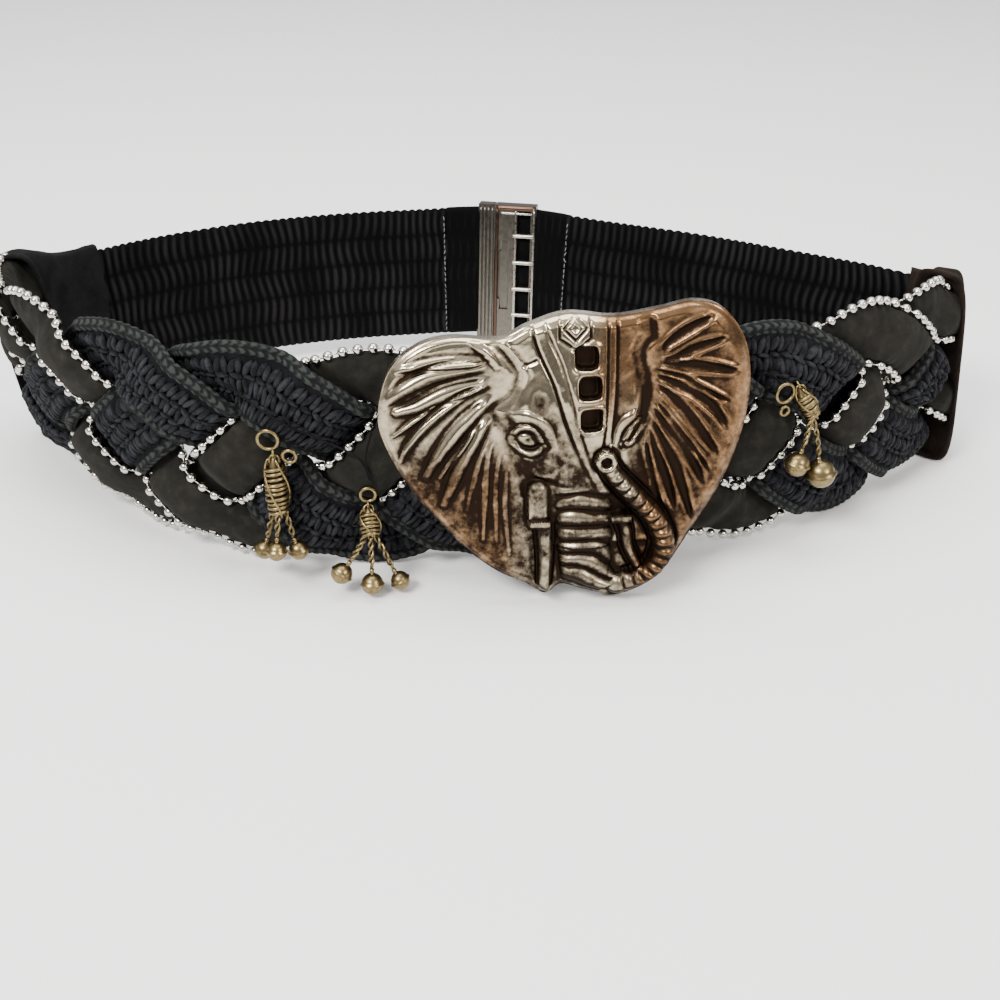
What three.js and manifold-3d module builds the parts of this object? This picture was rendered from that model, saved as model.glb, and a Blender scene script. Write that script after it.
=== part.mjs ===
// Braided fabric belt, fastened in a loop and standing on its lower edge. Millimetres, +Z up.
// The front faces -Y. Places along the loop are arc lengths from the middle of the front,
// positive towards +X. "Out" is the distance outwards from the middle of the band.
import * as THREE from "three";
import { mergeVertices } from "three/addons/utils/BufferGeometryUtils.js";
import Module from "manifold-3d";

const wasm = await Module();
wasm.setup();

// Loop
const loopWidth = 290;
const loopDepth = 145;
const seatGap = 0.3;

// Braid
const braidHeight = 68;
const braidPitch = 140;
const braidLeft = -200;
const braidRight = 138;
const suedeWidth = 12;
const suedeThickness = 5;
const crochetWidth = 17.4;
const crochetThickness = 5.4;
const chainBall = 2.4;
const layerRoom = 4;

// Caps over the two ends of the braid
const capHeightLeft = 56;
const capHeightRight = 61;
const capLength = 26;
const capThickness = 14;

// Elastic
const elasticHeight = 48;
const elasticFoot = 6;
const elasticThickness = 2;
const ribPitch = 2.9;
const ribHeight = 0.6;
const hemLength = 12;
const hemThickness = 3.6;

// Clasp
const claspHeight = 53;
const claspFoot = 2.5;
const claspPlate = 6;
const claspFrame = 15;
const claspThickness = 4.5;
const claspRung = 1.6;
const claspRungs = 5;
const claspShare = 0.453;

// Medallion, a thin casting hollow at the back
const medallionWidth = 96;
const medallionHeight = 81;
const medallionWall = 2.2;
const medallionRim = 2.6;
const medallionRelief = 7;
const medallionLean = 8.5;
const medallionTurn = 5;
const medallionFoot = 0.8;
const medallionClear = 6;
const medallionAlong = -3.6;
const postShare = 0.6;
const postDiameter = 7;

// Charms of small bells on rings
const ringWire = 1;
const wrapDiameter = 5;
const legWire = 1.2;

// Plan of the loop seen from above, from the front middle round the left end: shares of
// loopWidth and loopDepth, and how far the band leans outwards at the top, in degrees.
const loopPlan = [
  { across: 0.066, back: 0.028, lean: 0 },
  { across: -0.055, back: 0.007, lean: 0 },
  { across: -0.176, back: 0, lean: 1 },
  { across: -0.276, back: 0.055, lean: 4 },
  { across: -0.355, back: 0.166, lean: 8 },
  { across: -0.414, back: 0.283, lean: 11 },
  { across: -0.466, back: 0.414, lean: 12 },
  { across: -0.5, back: 0.531, lean: 8 },
  { across: -0.483, back: 0.634, lean: 5 },
  { across: -0.414, back: 0.759, lean: 5 },
  { across: -0.317, back: 0.869, lean: 5 },
  { across: -0.217, back: 0.938, lean: 5 },
  { across: -0.11, back: 0.979, lean: 5 },
  { across: 0.014, back: 1, lean: 5 },
  { across: 0.124, back: 0.897, lean: 6 },
  { across: 0.234, back: 0.779, lean: 9 },
  { across: 0.338, back: 0.655, lean: 10 },
  { across: 0.417, back: 0.586, lean: 7 },
  { across: 0.47, back: 0.551, lean: 0 },
  { across: 0.496, back: 0.483, lean: -4 },
  { across: 0.478, back: 0.414, lean: -4 },
  { across: 0.438, back: 0.345, lean: 0 },
  { across: 0.393, back: 0.269, lean: 0 },
  { across: 0.341, back: 0.186, lean: 0 },
  { across: 0.276, back: 0.117, lean: 0 },
  { across: 0.193, back: 0.062, lean: 0 },
];

// The third coordinate of the plan curve carries the slope of the lean.
const loopCurve = new THREE.CatmullRomCurve3(
  loopPlan.map((row) => new THREE.Vector3(
    row.across * loopWidth,
    row.back * loopDepth,
    Math.tan(THREE.MathUtils.degToRad(row.lean)),
  )),
  true,
  "catmullrom",
  0.5,
);
loopCurve.arcLengthDivisions = 1200;
const loopLength = loopCurve.getLength();
const claspPlace = claspShare * loopLength;

function bandPoint(along, out, up) {
  const share = (((-along / loopLength) % 1) + 1) % 1;
  const place = loopCurve.getPointAt(share);
  const heading = loopCurve.getTangentAt(share);
  const outwards = new THREE.Vector2(heading.y, -heading.x).normalize().negate();
  const reach = out + up * place.z;
  return new THREE.Vector3(place.x + outwards.x * reach, place.y + outwards.y * reach, up);
}

// The four strands of the flat plain weave: where each one's top turn lies, and its widths.
const suedeReach = suedeWidth / 2 + seatGap + chainBall;
const strands = [
  { name: "suede_strand_1", kind: "suede", top: -braidPitch / 8, halfWidth: suedeReach },
  { name: "crochet_strand_1", kind: "crochet", top: braidPitch / 8, halfWidth: crochetWidth / 2 },
  { name: "crochet_strand_2", kind: "crochet", top: 3 * braidPitch / 8, halfWidth: crochetWidth / 2 },
  { name: "suede_strand_2", kind: "suede", top: 5 * braidPitch / 8, halfWidth: suedeReach },
];
const layerStep = crochetThickness + layerRoom;
const endTaper = 45;
const windowInner = 0.5;
const windowOuter = 3.2;
const endNarrowing = 0.84;
const endSkew = 20;

function smooth(value, low, high) {
  const share = THREE.MathUtils.clamp((value - low) / (high - low), 0, 1);
  return share * share * (3 - 2 * share);
}

function strandPhase(strand, along) {
  return (2 * Math.PI * (along - strand.top)) / braidPitch;
}

function narrowing(along) {
  const fromEnd = Math.min(along - braidLeft, braidRight - along);
  return endNarrowing + (1 - endNarrowing) * smooth(fromEnd, 0, endTaper);
}

function strandHeight(strand, along) {
  const reach = braidHeight / 2 - strand.halfWidth;
  return braidHeight / 2 + reach * narrowing(along) * Math.cos(strandPhase(strand, along));
}

function strandSlope(strand, along) {
  const step = 0.5;
  return (strandHeight(strand, along + step) - strandHeight(strand, along - step)) / (2 * step);
}

// How far a strand stands out at a point of the band: it passes in front of one neighbour and
// behind the next, and changes sides in the gaps between them.
function strandDepth(strand, along, up) {
  let depth = 0;
  for (const other of strands) {
    if (other === strand) continue;
    const lag = (2 * Math.PI * (other.top - strand.top)) / braidPitch;
    const turn = Math.round((strandPhase(strand, along) - lag / 2) / Math.PI);
    const side = Math.sign(Math.sin(1.5 * lag)) * (turn % 2 === 0 ? 1 : -1);
    const slope = strandSlope(other, along);
    const apart = Math.abs(up - strandHeight(other, along)) / Math.hypot(1, slope);
    depth += side * (1 - smooth(apart, other.halfWidth * windowInner, other.halfWidth + windowOuter));
  }
  return THREE.MathUtils.clamp(depth, -1, 1) * layerStep / 2;
}

function strandPoint(strand, along, across, out) {
  const slope = strandSlope(strand, along);
  const length = Math.hypot(1, slope);
  const fromEnd = Math.min(along - braidLeft, braidRight - along);
  const skew = smooth(fromEnd, 0, endSkew);
  const placeAlong = along - (across * slope * skew) / length;
  const placeUp = strandHeight(strand, along) + across / length;
  return bandPoint(placeAlong, strandDepth(strand, placeAlong, placeUp) + out, placeUp);
}

// A section extruded in steps along the braid, each point then moved to its strand.
function strandSolid(strand, section, steps, across) {
  const geometry = new THREE.ExtrudeGeometry(section, { depth: 1, steps, bevelEnabled: false });
  const point = geometry.attributes.position;
  const length = braidRight - braidLeft - 2 * seatGap;
  for (let i = 0; i < point.count; i += 1) {
    const along = braidLeft + seatGap + point.getZ(i) * length;
    const moved = strandPoint(strand, along, across + point.getX(i), point.getY(i));
    point.setXYZ(i, moved.x, moved.y, moved.z);
  }
  return outwardFacing(geometry);
}

function ovalSection(width, thickness, sides, fullness) {
  const section = new THREE.Shape();
  for (let i = 0; i < sides; i += 1) {
    const angle = (2 * Math.PI * (i + 0.5)) / sides;
    const x = Math.sign(Math.cos(angle)) * Math.abs(Math.cos(angle)) ** fullness * width / 2;
    const y = Math.sign(Math.sin(angle)) * Math.abs(Math.sin(angle)) ** fullness * thickness / 2;
    if (i === 0) section.moveTo(x, y);
    else section.lineTo(x, y);
  }
  section.closePath();
  return section;
}

function signedVolume(geometry) {
  const point = geometry.attributes.position;
  const a = new THREE.Vector3();
  const b = new THREE.Vector3();
  const c = new THREE.Vector3();
  let volume = 0;
  for (let i = 0; i < point.count; i += 3) {
    a.fromBufferAttribute(point, i);
    b.fromBufferAttribute(point, i + 1);
    c.fromBufferAttribute(point, i + 2);
    volume += a.dot(b.cross(c)) / 6;
  }
  return volume;
}

function outwardFacing(geometry) {
  const flat = geometry.index ? geometry.toNonIndexed() : geometry;
  if (signedVolume(flat) < 0) {
    const point = flat.attributes.position;
    for (let i = 0; i < point.count; i += 3) {
      const b = new THREE.Vector3().fromBufferAttribute(point, i + 1);
      const c = new THREE.Vector3().fromBufferAttribute(point, i + 2);
      point.setXYZ(i + 1, c.x, c.y, c.z);
      point.setXYZ(i + 2, b.x, b.y, b.z);
    }
  }
  flat.deleteAttribute("normal");
  flat.deleteAttribute("uv");
  const merged = mergeVertices(flat, 1e-4);
  merged.computeVertexNormals();
  return merged;
}

const finishes = {
  suede: new THREE.MeshStandardMaterial({ color: 0x2a2622, roughness: 0.95, metalness: 0 }),
  crochet: new THREE.MeshStandardMaterial({ color: 0x1b1d22, roughness: 0.98, metalness: 0 }),
  chain: new THREE.MeshStandardMaterial({ color: 0xd8d8d8, roughness: 0.2, metalness: 1 }),
  cap: new THREE.MeshStandardMaterial({ color: 0x151517, roughness: 0.9, metalness: 0 }),
  elastic: new THREE.MeshStandardMaterial({ color: 0x0a0a0b, roughness: 0.9, metalness: 0 }),
  clasp: new THREE.MeshStandardMaterial({ color: 0xb9b6ae, roughness: 0.3, metalness: 1 }),
  pewter: new THREE.MeshStandardMaterial({ color: 0xa8998a, roughness: 0.35, metalness: 1 }),
  brass: new THREE.MeshStandardMaterial({ color: 0x8d7a4e, roughness: 0.4, metalness: 1 }),
};

const belt = new THREE.Group();

function add(name, geometry, finish, group = belt) {
  const mesh = new THREE.Mesh(geometry, finishes[finish]);
  mesh.name = name;
  group.add(mesh);
}

const strandSides = 8;
const strandSteps = 42;
const chainSides = 8;
const chainSteps = 48;

for (const strand of strands) {
  const suede = strand.kind === "suede";
  const width = suede ? suedeWidth : crochetWidth;
  const thickness = suede ? suedeThickness : crochetThickness;
  const section = ovalSection(width, thickness, strandSides, 0.8);
  add(strand.name, strandSolid(strand, section, strandSteps, 0), strand.kind);
  if (!suede) continue;
  for (const [edge, side] of [["upper", 1], ["lower", -1]]) {
    const place = side * (suedeWidth / 2 + seatGap + chainBall / 2);
    const wire = ovalSection(chainBall, chainBall, chainSides, 1);
    add(`ball_chain_${strand.name.at(-1)}_${edge}`, strandSolid(strand, wire, chainSteps, place), "chain");
  }
}

// The face of the braid at a point of the band: the outermost strand there.
function faceOut(along, up) {
  let face = -Infinity;
  for (const strand of strands) {
    const slope = strandSlope(strand, along);
    const across = (up - strandHeight(strand, along)) / Math.hypot(1, slope);
    if (Math.abs(across) > strand.halfWidth) continue;
    const thickness = strand.kind === "suede" ? suedeThickness : crochetThickness;
    face = Math.max(face, strandDepth(strand, along, up) + thickness / 2);
  }
  return face === -Infinity ? 0 : face;
}

// A block swept along the band in steps, whose section is given at each step.
function sweptBlock(from, to, steps, section) {
  const square = new THREE.Shape([
    new THREE.Vector2(-1, 0),
    new THREE.Vector2(1, 0),
    new THREE.Vector2(1, 1),
    new THREE.Vector2(-1, 1),
  ]);
  const geometry = new THREE.ExtrudeGeometry(square, { depth: 1, steps, bevelEnabled: false });
  const point = geometry.attributes.position;
  for (let i = 0; i < point.count; i += 1) {
    const share = point.getZ(i);
    const cut = section(share, Math.round(share * steps));
    const along = from + share * (to - from);
    const up = cut.foot + point.getY(i) * cut.height;
    const moved = bandPoint(along, point.getX(i) * cut.thickness / 2, up);
    point.setXYZ(i, moved.x, moved.y, moved.z);
  }
  return outwardFacing(geometry);
}

// Caps: sleeves of folded cloth, full at the braid and thin at the elastic, flat underneath.
const capThin = hemThickness + 2;
const capSteps = 8;

function capSolid(braidEnd, away, capHeight) {
  return sweptBlock(braidEnd, braidEnd + away * capLength, capSteps, (share) => ({
    foot: 0,
    height: capHeight - (capHeight - elasticFoot - elasticHeight - 2) * smooth(share, 0.2, 1),
    thickness: capThickness - (capThickness - capThin) * smooth(share, 0.1, 0.9),
  }));
}

add("end_cap_left", capSolid(braidLeft, -1, capHeightLeft), "cap");
add("end_cap_right", capSolid(braidRight, 1, capHeightRight), "cap");

// Elastic: a shirred band of upright ribs with a doubled hem at the clasp.
function elasticSolid(capEnd, claspEnd) {
  const steps = 2 * Math.round(Math.abs(claspEnd - capEnd) / ribPitch);
  const hemShare = 1 - hemLength / Math.abs(claspEnd - capEnd);
  return sweptBlock(capEnd, claspEnd, steps, (share, step) => {
    const rib = elasticThickness + (step % 2) * 2 * ribHeight;
    return { foot: elasticFoot, height: elasticHeight, thickness: share < hemShare ? rib : hemThickness };
  });
}

const claspWidth = claspPlate + seatGap + claspFrame;
const claspLeftEdge = claspPlace + claspWidth / 2;
const claspRightEdge = claspPlace - claspWidth / 2;
const leftCapEnd = loopLength + braidLeft - capLength;
add("elastic_left", elasticSolid(leftCapEnd - seatGap, claspLeftEdge + 2 * seatGap), "elastic");
const rightCapEnd = braidRight + capLength;
add("elastic_right", elasticSolid(rightCapEnd + seatGap, claspRightEdge - 2 * seatGap), "elastic");

// Clasp: a plate with a headed tongue that sits in the slot of a frame with rungs.
const tongueNeck = { length: 2.2, height: 18 };
const tongueHead = { length: 2.6, height: 26 };
const frameRim = 2;
const ladderWidth = 5;

function rectangle(x0, y0, x1, y1) {
  return new THREE.Shape([
    new THREE.Vector2(x0, y0),
    new THREE.Vector2(x1, y0),
    new THREE.Vector2(x1, y1),
    new THREE.Vector2(x0, y1),
  ]);
}

function slab(shape, thickness) {
  const geometry = new THREE.ExtrudeGeometry(shape, { depth: thickness, bevelEnabled: false });
  geometry.translate(0, 0, -thickness / 2);
  return geometry;
}

function toManifold(geometry) {
  const merged = outwardFacing(geometry.clone());
  return new wasm.Manifold(new wasm.Mesh({
    numProp: 3,
    vertProperties: new Float32Array(merged.attributes.position.array),
    triVerts: new Uint32Array(merged.index.array),
  }));
}

function fromManifold(solid) {
  const mesh = solid.getMesh();
  const geometry = new THREE.BufferGeometry();
  const place = new THREE.BufferAttribute(new Float32Array(mesh.vertProperties), 3);
  geometry.setAttribute("position", place);
  geometry.setIndex(new THREE.BufferAttribute(new Uint32Array(mesh.triVerts), 1));
  return geometry;
}

function tongueOutline(clearance) {
  const middle = claspHeight / 2;
  const neck = tongueNeck.height / 2 + clearance;
  const head = tongueHead.height / 2 + clearance;
  const shoulder = tongueNeck.length + seatGap - clearance;
  const tip = tongueNeck.length + seatGap + tongueHead.length + clearance;
  return new THREE.Shape([
    new THREE.Vector2(-1, middle - neck),
    new THREE.Vector2(shoulder, middle - neck),
    new THREE.Vector2(shoulder, middle - head),
    new THREE.Vector2(tip, middle - head),
    new THREE.Vector2(tip, middle + head),
    new THREE.Vector2(shoulder, middle + head),
    new THREE.Vector2(shoulder, middle + neck),
    new THREE.Vector2(-1, middle + neck),
  ]);
}

function claspPlateSolid() {
  const plate = toManifold(slab(rectangle(-claspPlate, 0, 0, claspHeight), claspThickness));
  return fromManifold(plate.add(toManifold(slab(tongueOutline(0), claspThickness * 0.6))));
}

function claspFrameSolid() {
  const outer = rectangle(seatGap, 0, seatGap + claspFrame, claspHeight);
  let frame = toManifold(slab(outer, claspThickness));
  frame = frame.subtract(toManifold(slab(tongueOutline(seatGap), claspThickness * 2)));
  const left = seatGap + claspFrame - frameRim - ladderWidth;
  const window = (claspHeight - 2 * frameRim - (claspRungs - 1) * claspRung) / claspRungs;
  for (let i = 0; i < claspRungs; i += 1) {
    const low = frameRim + i * (window + claspRung);
    const hole = rectangle(left, low, left + ladderWidth, low + window);
    frame = frame.subtract(toManifold(slab(hole, claspThickness * 2)));
  }
  return fromManifold(frame);
}

const claspMiddle = bandPoint(claspPlace, 0, 0);
const claspTop = bandPoint(claspPlace, 0, claspHeight);
const claspSide = bandPoint(claspPlace - 1, 0, 0).sub(bandPoint(claspPlace + 1, 0, 0)).normalize();
const claspUp = claspTop.clone().sub(claspMiddle).normalize();
const claspFace = new THREE.Vector3().crossVectors(claspSide, claspUp);
const claspGroup = new THREE.Group();
claspGroup.quaternion.setFromRotationMatrix(new THREE.Matrix4().makeBasis(claspSide, claspUp, claspFace));
claspGroup.position.copy(bandPoint(claspPlace + (claspFrame - claspPlate) / 2, 0, claspFoot));
belt.add(claspGroup);
add("clasp_plate", claspPlateSolid(), "clasp", claspGroup);
add("clasp_frame", claspFrameSolid(), "clasp", claspGroup);

// Medallion: the outline runs from the left ear's tip over the head and round by the right
// ear and the trunk, in shares of the width and height from the middle.
const medallionOutline = [
  { x: -0.5, y: 0.16 },
  { x: -0.47, y: 0.3 },
  { x: -0.4, y: 0.38 },
  { x: -0.31, y: 0.41 },
  { x: -0.18, y: 0.4 },
  { x: -0.1, y: 0.44 },
  { x: 0, y: 0.475 },
  { x: 0.13, y: 0.46 },
  { x: 0.25, y: 0.48 },
  { x: 0.34, y: 0.5 },
  { x: 0.42, y: 0.47 },
  { x: 0.48, y: 0.37 },
  { x: 0.5, y: 0.24 },
  { x: 0.49, y: 0.1 },
  { x: 0.46, y: -0.03 },
  { x: 0.42, y: -0.14 },
  { x: 0.36, y: -0.26 },
  { x: 0.3, y: -0.38 },
  { x: 0.25, y: -0.45 },
  { x: 0.15, y: -0.5 },
  { x: 0.06, y: -0.475 },
  { x: -0.01, y: -0.45 },
  { x: -0.055, y: -0.48 },
  { x: -0.11, y: -0.44 },
  { x: -0.19, y: -0.39 },
  { x: -0.27, y: -0.31 },
  { x: -0.35, y: -0.2 },
  { x: -0.42, y: -0.09 },
  { x: -0.48, y: 0.05 },
];

// Raised forms: middle, half sizes and rise, in shares of the width, height and relief.
const medallionDomes = [
  { name: "forehead", x: 0.04, y: 0.16, halfX: 0.19, halfY: 0.34, rise: 0.55 },
  { name: "cheeks", x: 0.04, y: -0.1, halfX: 0.16, halfY: 0.26, rise: 0.4 },
  { name: "left temple", x: -0.09, y: 0.17, halfX: 0.07, halfY: 0.12, rise: 0.2 },
  { name: "right temple", x: 0.18, y: 0.16, halfX: 0.06, halfY: 0.12, rise: 0.2 },
  { name: "left eye", x: -0.1, y: 0.02, halfX: 0.045, halfY: 0.045, rise: 0.25 },
  { name: "right eye", x: 0.19, y: 0.04, halfX: 0.04, halfY: 0.045, rise: 0.25 },
];

// Rounded ridges through a few points, with half width and rise as shares.
const medallionRidges = [
  { name: "trunk", half: 0.085, rise: 0.5, path: [[0.05, 0.02], [0.055, -0.2], [0.04, -0.42]] },
  {
    name: "trunk curl",
    half: 0.034,
    rise: 0.45,
    path: [[0.05, -0.44], [0.15, -0.46], [0.25, -0.41], [0.27, -0.32], [0.21, -0.18], [0.11, -0.05]],
  },
  { name: "left tusk", half: 0.028, rise: 0.5, path: [[-0.06, -0.12], [-0.05, -0.3], [-0.05, -0.46]] },
  { name: "right tusk", half: 0.028, rise: 0.4, path: [[0.18, -0.12], [0.2, -0.28], [0.24, -0.42]] },
  { name: "left border", half: 0.022, rise: 0.14, path: [[-0.07, 0.43], [0, 0.15], [0.05, -0.1]] },
  { name: "right border", half: 0.022, rise: 0.14, path: [[0.15, 0.45], [0.13, 0.2], [0.11, 0]] },
  { name: "left ear fold", half: 0.03, rise: 0.25, path: [[-0.26, 0.39], [-0.18, 0.31], [-0.11, 0.22]] },
  { name: "right ear fold", half: 0.03, rise: 0.25, path: [[0.24, 0.42], [0.25, 0.31], [0.22, 0.12]] },
];

const recessSize = 0.034;
const recessDepth = 0.3;
const medallionRecesses = [{ x: 0.062, y: 0.29 }, { x: 0.07, y: 0.2 }, { x: 0.074, y: 0.1 }];

// The ears' ribs fan out from a hub beside the head.
const earRibs = [
  { name: "left", hubX: -0.17, hubY: 0.2, from: 110, to: 250, ribs: 9, rise: 0.2 },
  { name: "right", hubX: 0.24, hubY: 0.24, from: -75, to: 75, ribs: 9, rise: 0.18 },
];

function distanceToPath(x, y, path) {
  let nearest = Infinity;
  for (let i = 0; i + 1 < path.length; i += 1) {
    const ax = path[i][0] * medallionWidth;
    const ay = path[i][1] * medallionHeight;
    const bx = path[i + 1][0] * medallionWidth - ax;
    const by = path[i + 1][1] * medallionHeight - ay;
    const share = THREE.MathUtils.clamp(((x - ax) * bx + (y - ay) * by) / (bx * bx + by * by), 0, 1);
    nearest = Math.min(nearest, Math.hypot(x - ax - share * bx, y - ay - share * by));
  }
  return nearest;
}

function roundTop(share) {
  return share >= 1 ? 0 : Math.sqrt(1 - share * share);
}

// Height of the medallion's face above its back at a point, with its share of the way out.
function medallionFace(x, y, outShare) {
  let rise = 0;
  for (const dome of medallionDomes) {
    const across = (x / medallionWidth - dome.x) / dome.halfX;
    const along = (y / medallionHeight - dome.y) / dome.halfY;
    rise += dome.rise * (1 - smooth(Math.hypot(across, along), 0, 1));
  }
  for (const ear of earRibs) {
    const fromX = x - ear.hubX * medallionWidth;
    const fromY = y - ear.hubY * medallionHeight;
    const angle = THREE.MathUtils.radToDeg(Math.atan2(fromY, fromX));
    const turn = (angle - ear.from + 720) % 360;
    const width = ear.to - ear.from;
    if (turn > width) continue;
    const out = smooth(Math.hypot(fromX, fromY) / medallionWidth, 0.03, 0.14);
    rise += ear.rise * out * (0.5 - 0.5 * Math.cos((2 * Math.PI * ear.ribs * turn) / width));
  }
  let ridge = 0;
  for (const row of medallionRidges) {
    const share = distanceToPath(x, y, row.path) / (row.half * medallionWidth);
    ridge = Math.max(ridge, row.rise * roundTop(share));
  }
  rise += ridge;
  for (const recess of medallionRecesses) {
    const across = Math.abs(x / medallionWidth - recess.x);
    const along = Math.abs(y - recess.y * medallionHeight) / medallionWidth;
    const out = Math.max(across, along) / recessSize;
    rise -= recessDepth * (1 - smooth(out, 0.6, 1.1));
  }
  const edge = 1 - smooth(outShare, 0.86, 1);
  return medallionRim + Math.max(rise, 0) * medallionRelief * edge;
}

function medallionBack(face) {
  return Math.max(face - medallionWall - medallionRim / 2, 0);
}

const outlineCurve = new THREE.CatmullRomCurve3(
  medallionOutline.map((row) => new THREE.Vector3(row.x * medallionWidth, row.y * medallionHeight, 0)),
  true,
  "catmullrom",
  0.5,
);
const medallionSectors = 60;
const medallionFaceRings = 11;
const medallionBackRings = 4;

// The outline's reach from the middle in a given direction.
function outlineReach(angle) {
  const samples = 400;
  const direction = new THREE.Vector2(Math.cos(angle), Math.sin(angle));
  let reach = 0;
  let last = outlineCurve.getPoint(0);
  for (let i = 1; i <= samples; i += 1) {
    const next = outlineCurve.getPoint(i / samples);
    const sideLast = direction.x * last.y - direction.y * last.x;
    const sideNext = direction.x * next.y - direction.y * next.x;
    if (sideLast * sideNext <= 0 && sideLast !== sideNext) {
      const share = sideLast / (sideLast - sideNext);
      const x = last.x + share * (next.x - last.x);
      const y = last.y + share * (next.y - last.y);
      if (x * direction.x + y * direction.y > 0) reach = Math.max(reach, Math.hypot(x, y));
    }
    last = next;
  }
  return reach;
}

// A sphere's rows and columns laid out as a shell: the face first, then the hollow back.
function medallionSolid() {
  const rows = medallionFaceRings + 1 + medallionBackRings;
  const geometry = new THREE.SphereGeometry(1, medallionSectors, rows);
  const point = geometry.attributes.position;
  const reaches = Array.from({ length: medallionSectors }, (_, i) => (
    outlineReach((2 * Math.PI * i) / medallionSectors)
  ));
  for (let i = 0; i < point.count; i += 1) {
    const row = Math.round((Math.acos(THREE.MathUtils.clamp(point.getY(i), -1, 1)) * rows) / Math.PI);
    const column = i % (medallionSectors + 1) % medallionSectors;
    const angle = (2 * Math.PI * column) / medallionSectors;
    const front = row <= medallionFaceRings;
    const share = front ? row / medallionFaceRings : (rows - row) / medallionBackRings;
    const x = Math.cos(angle) * reaches[column] * share;
    const y = Math.sin(angle) * reaches[column] * share;
    const face = medallionFace(x, y, share);
    const back = row === medallionFaceRings + 1 ? 0 : medallionBack(face);
    point.setXYZ(i, x, y, front ? face : back);
  }
  return outwardFacing(geometry);
}

// The medallion leans back against the braid, its foot just above the surface.
const medallionPlace = new THREE.Group();
const leanAngle = THREE.MathUtils.degToRad(medallionLean);
const medallionMiddle = medallionFoot + (medallionHeight / 2) * Math.cos(leanAngle);
const seatHeight = medallionFoot + medallionHeight * Math.cos(leanAngle) * postShare;
const leanOut = (seatHeight - medallionMiddle) * Math.tan(leanAngle);
const seatOut = faceOut(medallionAlong, seatHeight) + medallionClear + leanOut;
const medallionSeat = bandPoint(medallionAlong, seatOut, medallionMiddle);
medallionPlace.position.copy(medallionSeat);
medallionPlace.rotation.set(
  Math.PI / 2 - leanAngle,
  0,
  THREE.MathUtils.degToRad(medallionTurn),
  "ZXY",
);
belt.add(medallionPlace);
add("elephant_medallion", medallionSolid(), "pewter", medallionPlace);

// Post between the braid and the hollow of the casting, level with the crossing behind it.
function postSolid() {
  medallionPlace.updateMatrixWorld(true);
  const braidEnd = bandPoint(medallionAlong, faceOut(medallionAlong, seatHeight) + seatGap, seatHeight);
  const inCasting = medallionPlace.worldToLocal(braidEnd.clone());
  let hollow = Infinity;
  for (let i = 0; i < 12; i += 1) {
    const angle = (2 * Math.PI * i) / 12;
    const x = inCasting.x + (Math.cos(angle) * postDiameter) / 2;
    const y = inCasting.y + (Math.sin(angle) * postDiameter) / 2;
    hollow = Math.min(hollow, medallionBack(medallionFace(x, y, 0.5)) - seatGap);
  }
  const length = hollow - inCasting.z - postDiameter / 2 * Math.tan(leanAngle);
  const geometry = new THREE.CylinderGeometry(postDiameter / 2, postDiameter / 2, length, 12);
  geometry.rotateX(Math.PI / 2);
  geometry.translate(inCasting.x, inCasting.y, hollow - length / 2);
  return geometry;
}

add("medallion_post", outwardFacing(postSolid()), "pewter", medallionPlace);

// Charms: where each ring is tied, at what angle of the first ring the wrapped stem hangs, the
// stem's foot as shift, out and up, and its bells. Shifts run along the band, outs start at the
// braid's face and ups at the surface.
const charms = [
  {
    name: "charm_1",
    along: -76.5,
    rings: [{ shift: -1.5, up: 43.5, diameter: 6.5 }, { shift: 3.4, up: 38.8, diameter: 4.6 }],
    hangs: -75,
    foot: [0.5, 0.6, 27],
    bells: [
      { shift: -4, out: 0.5, up: 10.2, diameter: 5.4 },
      { shift: 0.3, out: 4.2, up: 12.6, diameter: 5.4 },
      { shift: 4.6, out: 0.5, up: 11, diameter: 5.4 },
    ],
  },
  {
    name: "charm_2",
    along: -54,
    rings: [{ shift: -0.5, up: 27, diameter: 5 }],
    hangs: -90,
    foot: [0, 2, 17.5],
    bells: [
      { shift: -7.4, out: 4.5, up: 6.6, diameter: 5.8 },
      { shift: 0, out: 5.5, up: 3.8, diameter: 6 },
      { shift: 7.2, out: 4.5, up: 3.6, diameter: 5.2 },
    ],
  },
  {
    name: "charm_3",
    along: 60,
    rings: [{ shift: -3.4, up: 49.5, diameter: 6.5 }, { shift: -3, up: 44.1, diameter: 3.6 }],
    hangs: 25,
    foot: [4.4, 0.8, 42],
    bells: [
      { shift: 0.4, out: 0.5, up: 28.5, diameter: 7 },
      { shift: 7.4, out: 1.2, up: 24.5, diameter: 8.2 },
    ],
  },
];
const braidFace = layerStep / 2 + crochetThickness / 2;
const bellSides = 10;
const bellSteps = 6;
const bellStem = 1.2;
const eyeDiameter = 1.2;

function charmPoint(charm, shift, out, up) {
  return bandPoint(charm.along + shift, braidFace + seatGap + out, up);
}

function aim(geometry, from, to) {
  const direction = to.clone().sub(from).normalize();
  const upright = new THREE.Vector3(0, 1, 0);
  geometry.applyQuaternion(new THREE.Quaternion().setFromUnitVectors(upright, direction));
  geometry.translate(from.x, from.y, from.z);
  return geometry;
}

function rod(from, to, diameter, sides) {
  const length = from.distanceTo(to);
  const geometry = new THREE.CylinderGeometry(diameter / 2, diameter / 2, length, sides);
  geometry.translate(0, length / 2, 0);
  return aim(geometry, from, to);
}

// How far the braid stands out behind a ring, and behind the stem's eye beside the first ring.
function ringFace(charm, ring) {
  const along = charm.along + ring.shift;
  const reach = ring.diameter / 2;
  const hang = THREE.MathUtils.degToRad(charm.hangs);
  const eye = reach + eyeDiameter;
  let face = Math.max(
    faceOut(along, ring.up),
    faceOut(along + eye * Math.cos(hang), ring.up + eye * Math.sin(hang)),
  );
  for (let i = 0; i < 8; i += 1) {
    const angle = (Math.PI * i) / 4;
    face = Math.max(face, faceOut(along + reach * Math.cos(angle), ring.up + reach * Math.sin(angle)));
  }
  return face;
}

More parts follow.
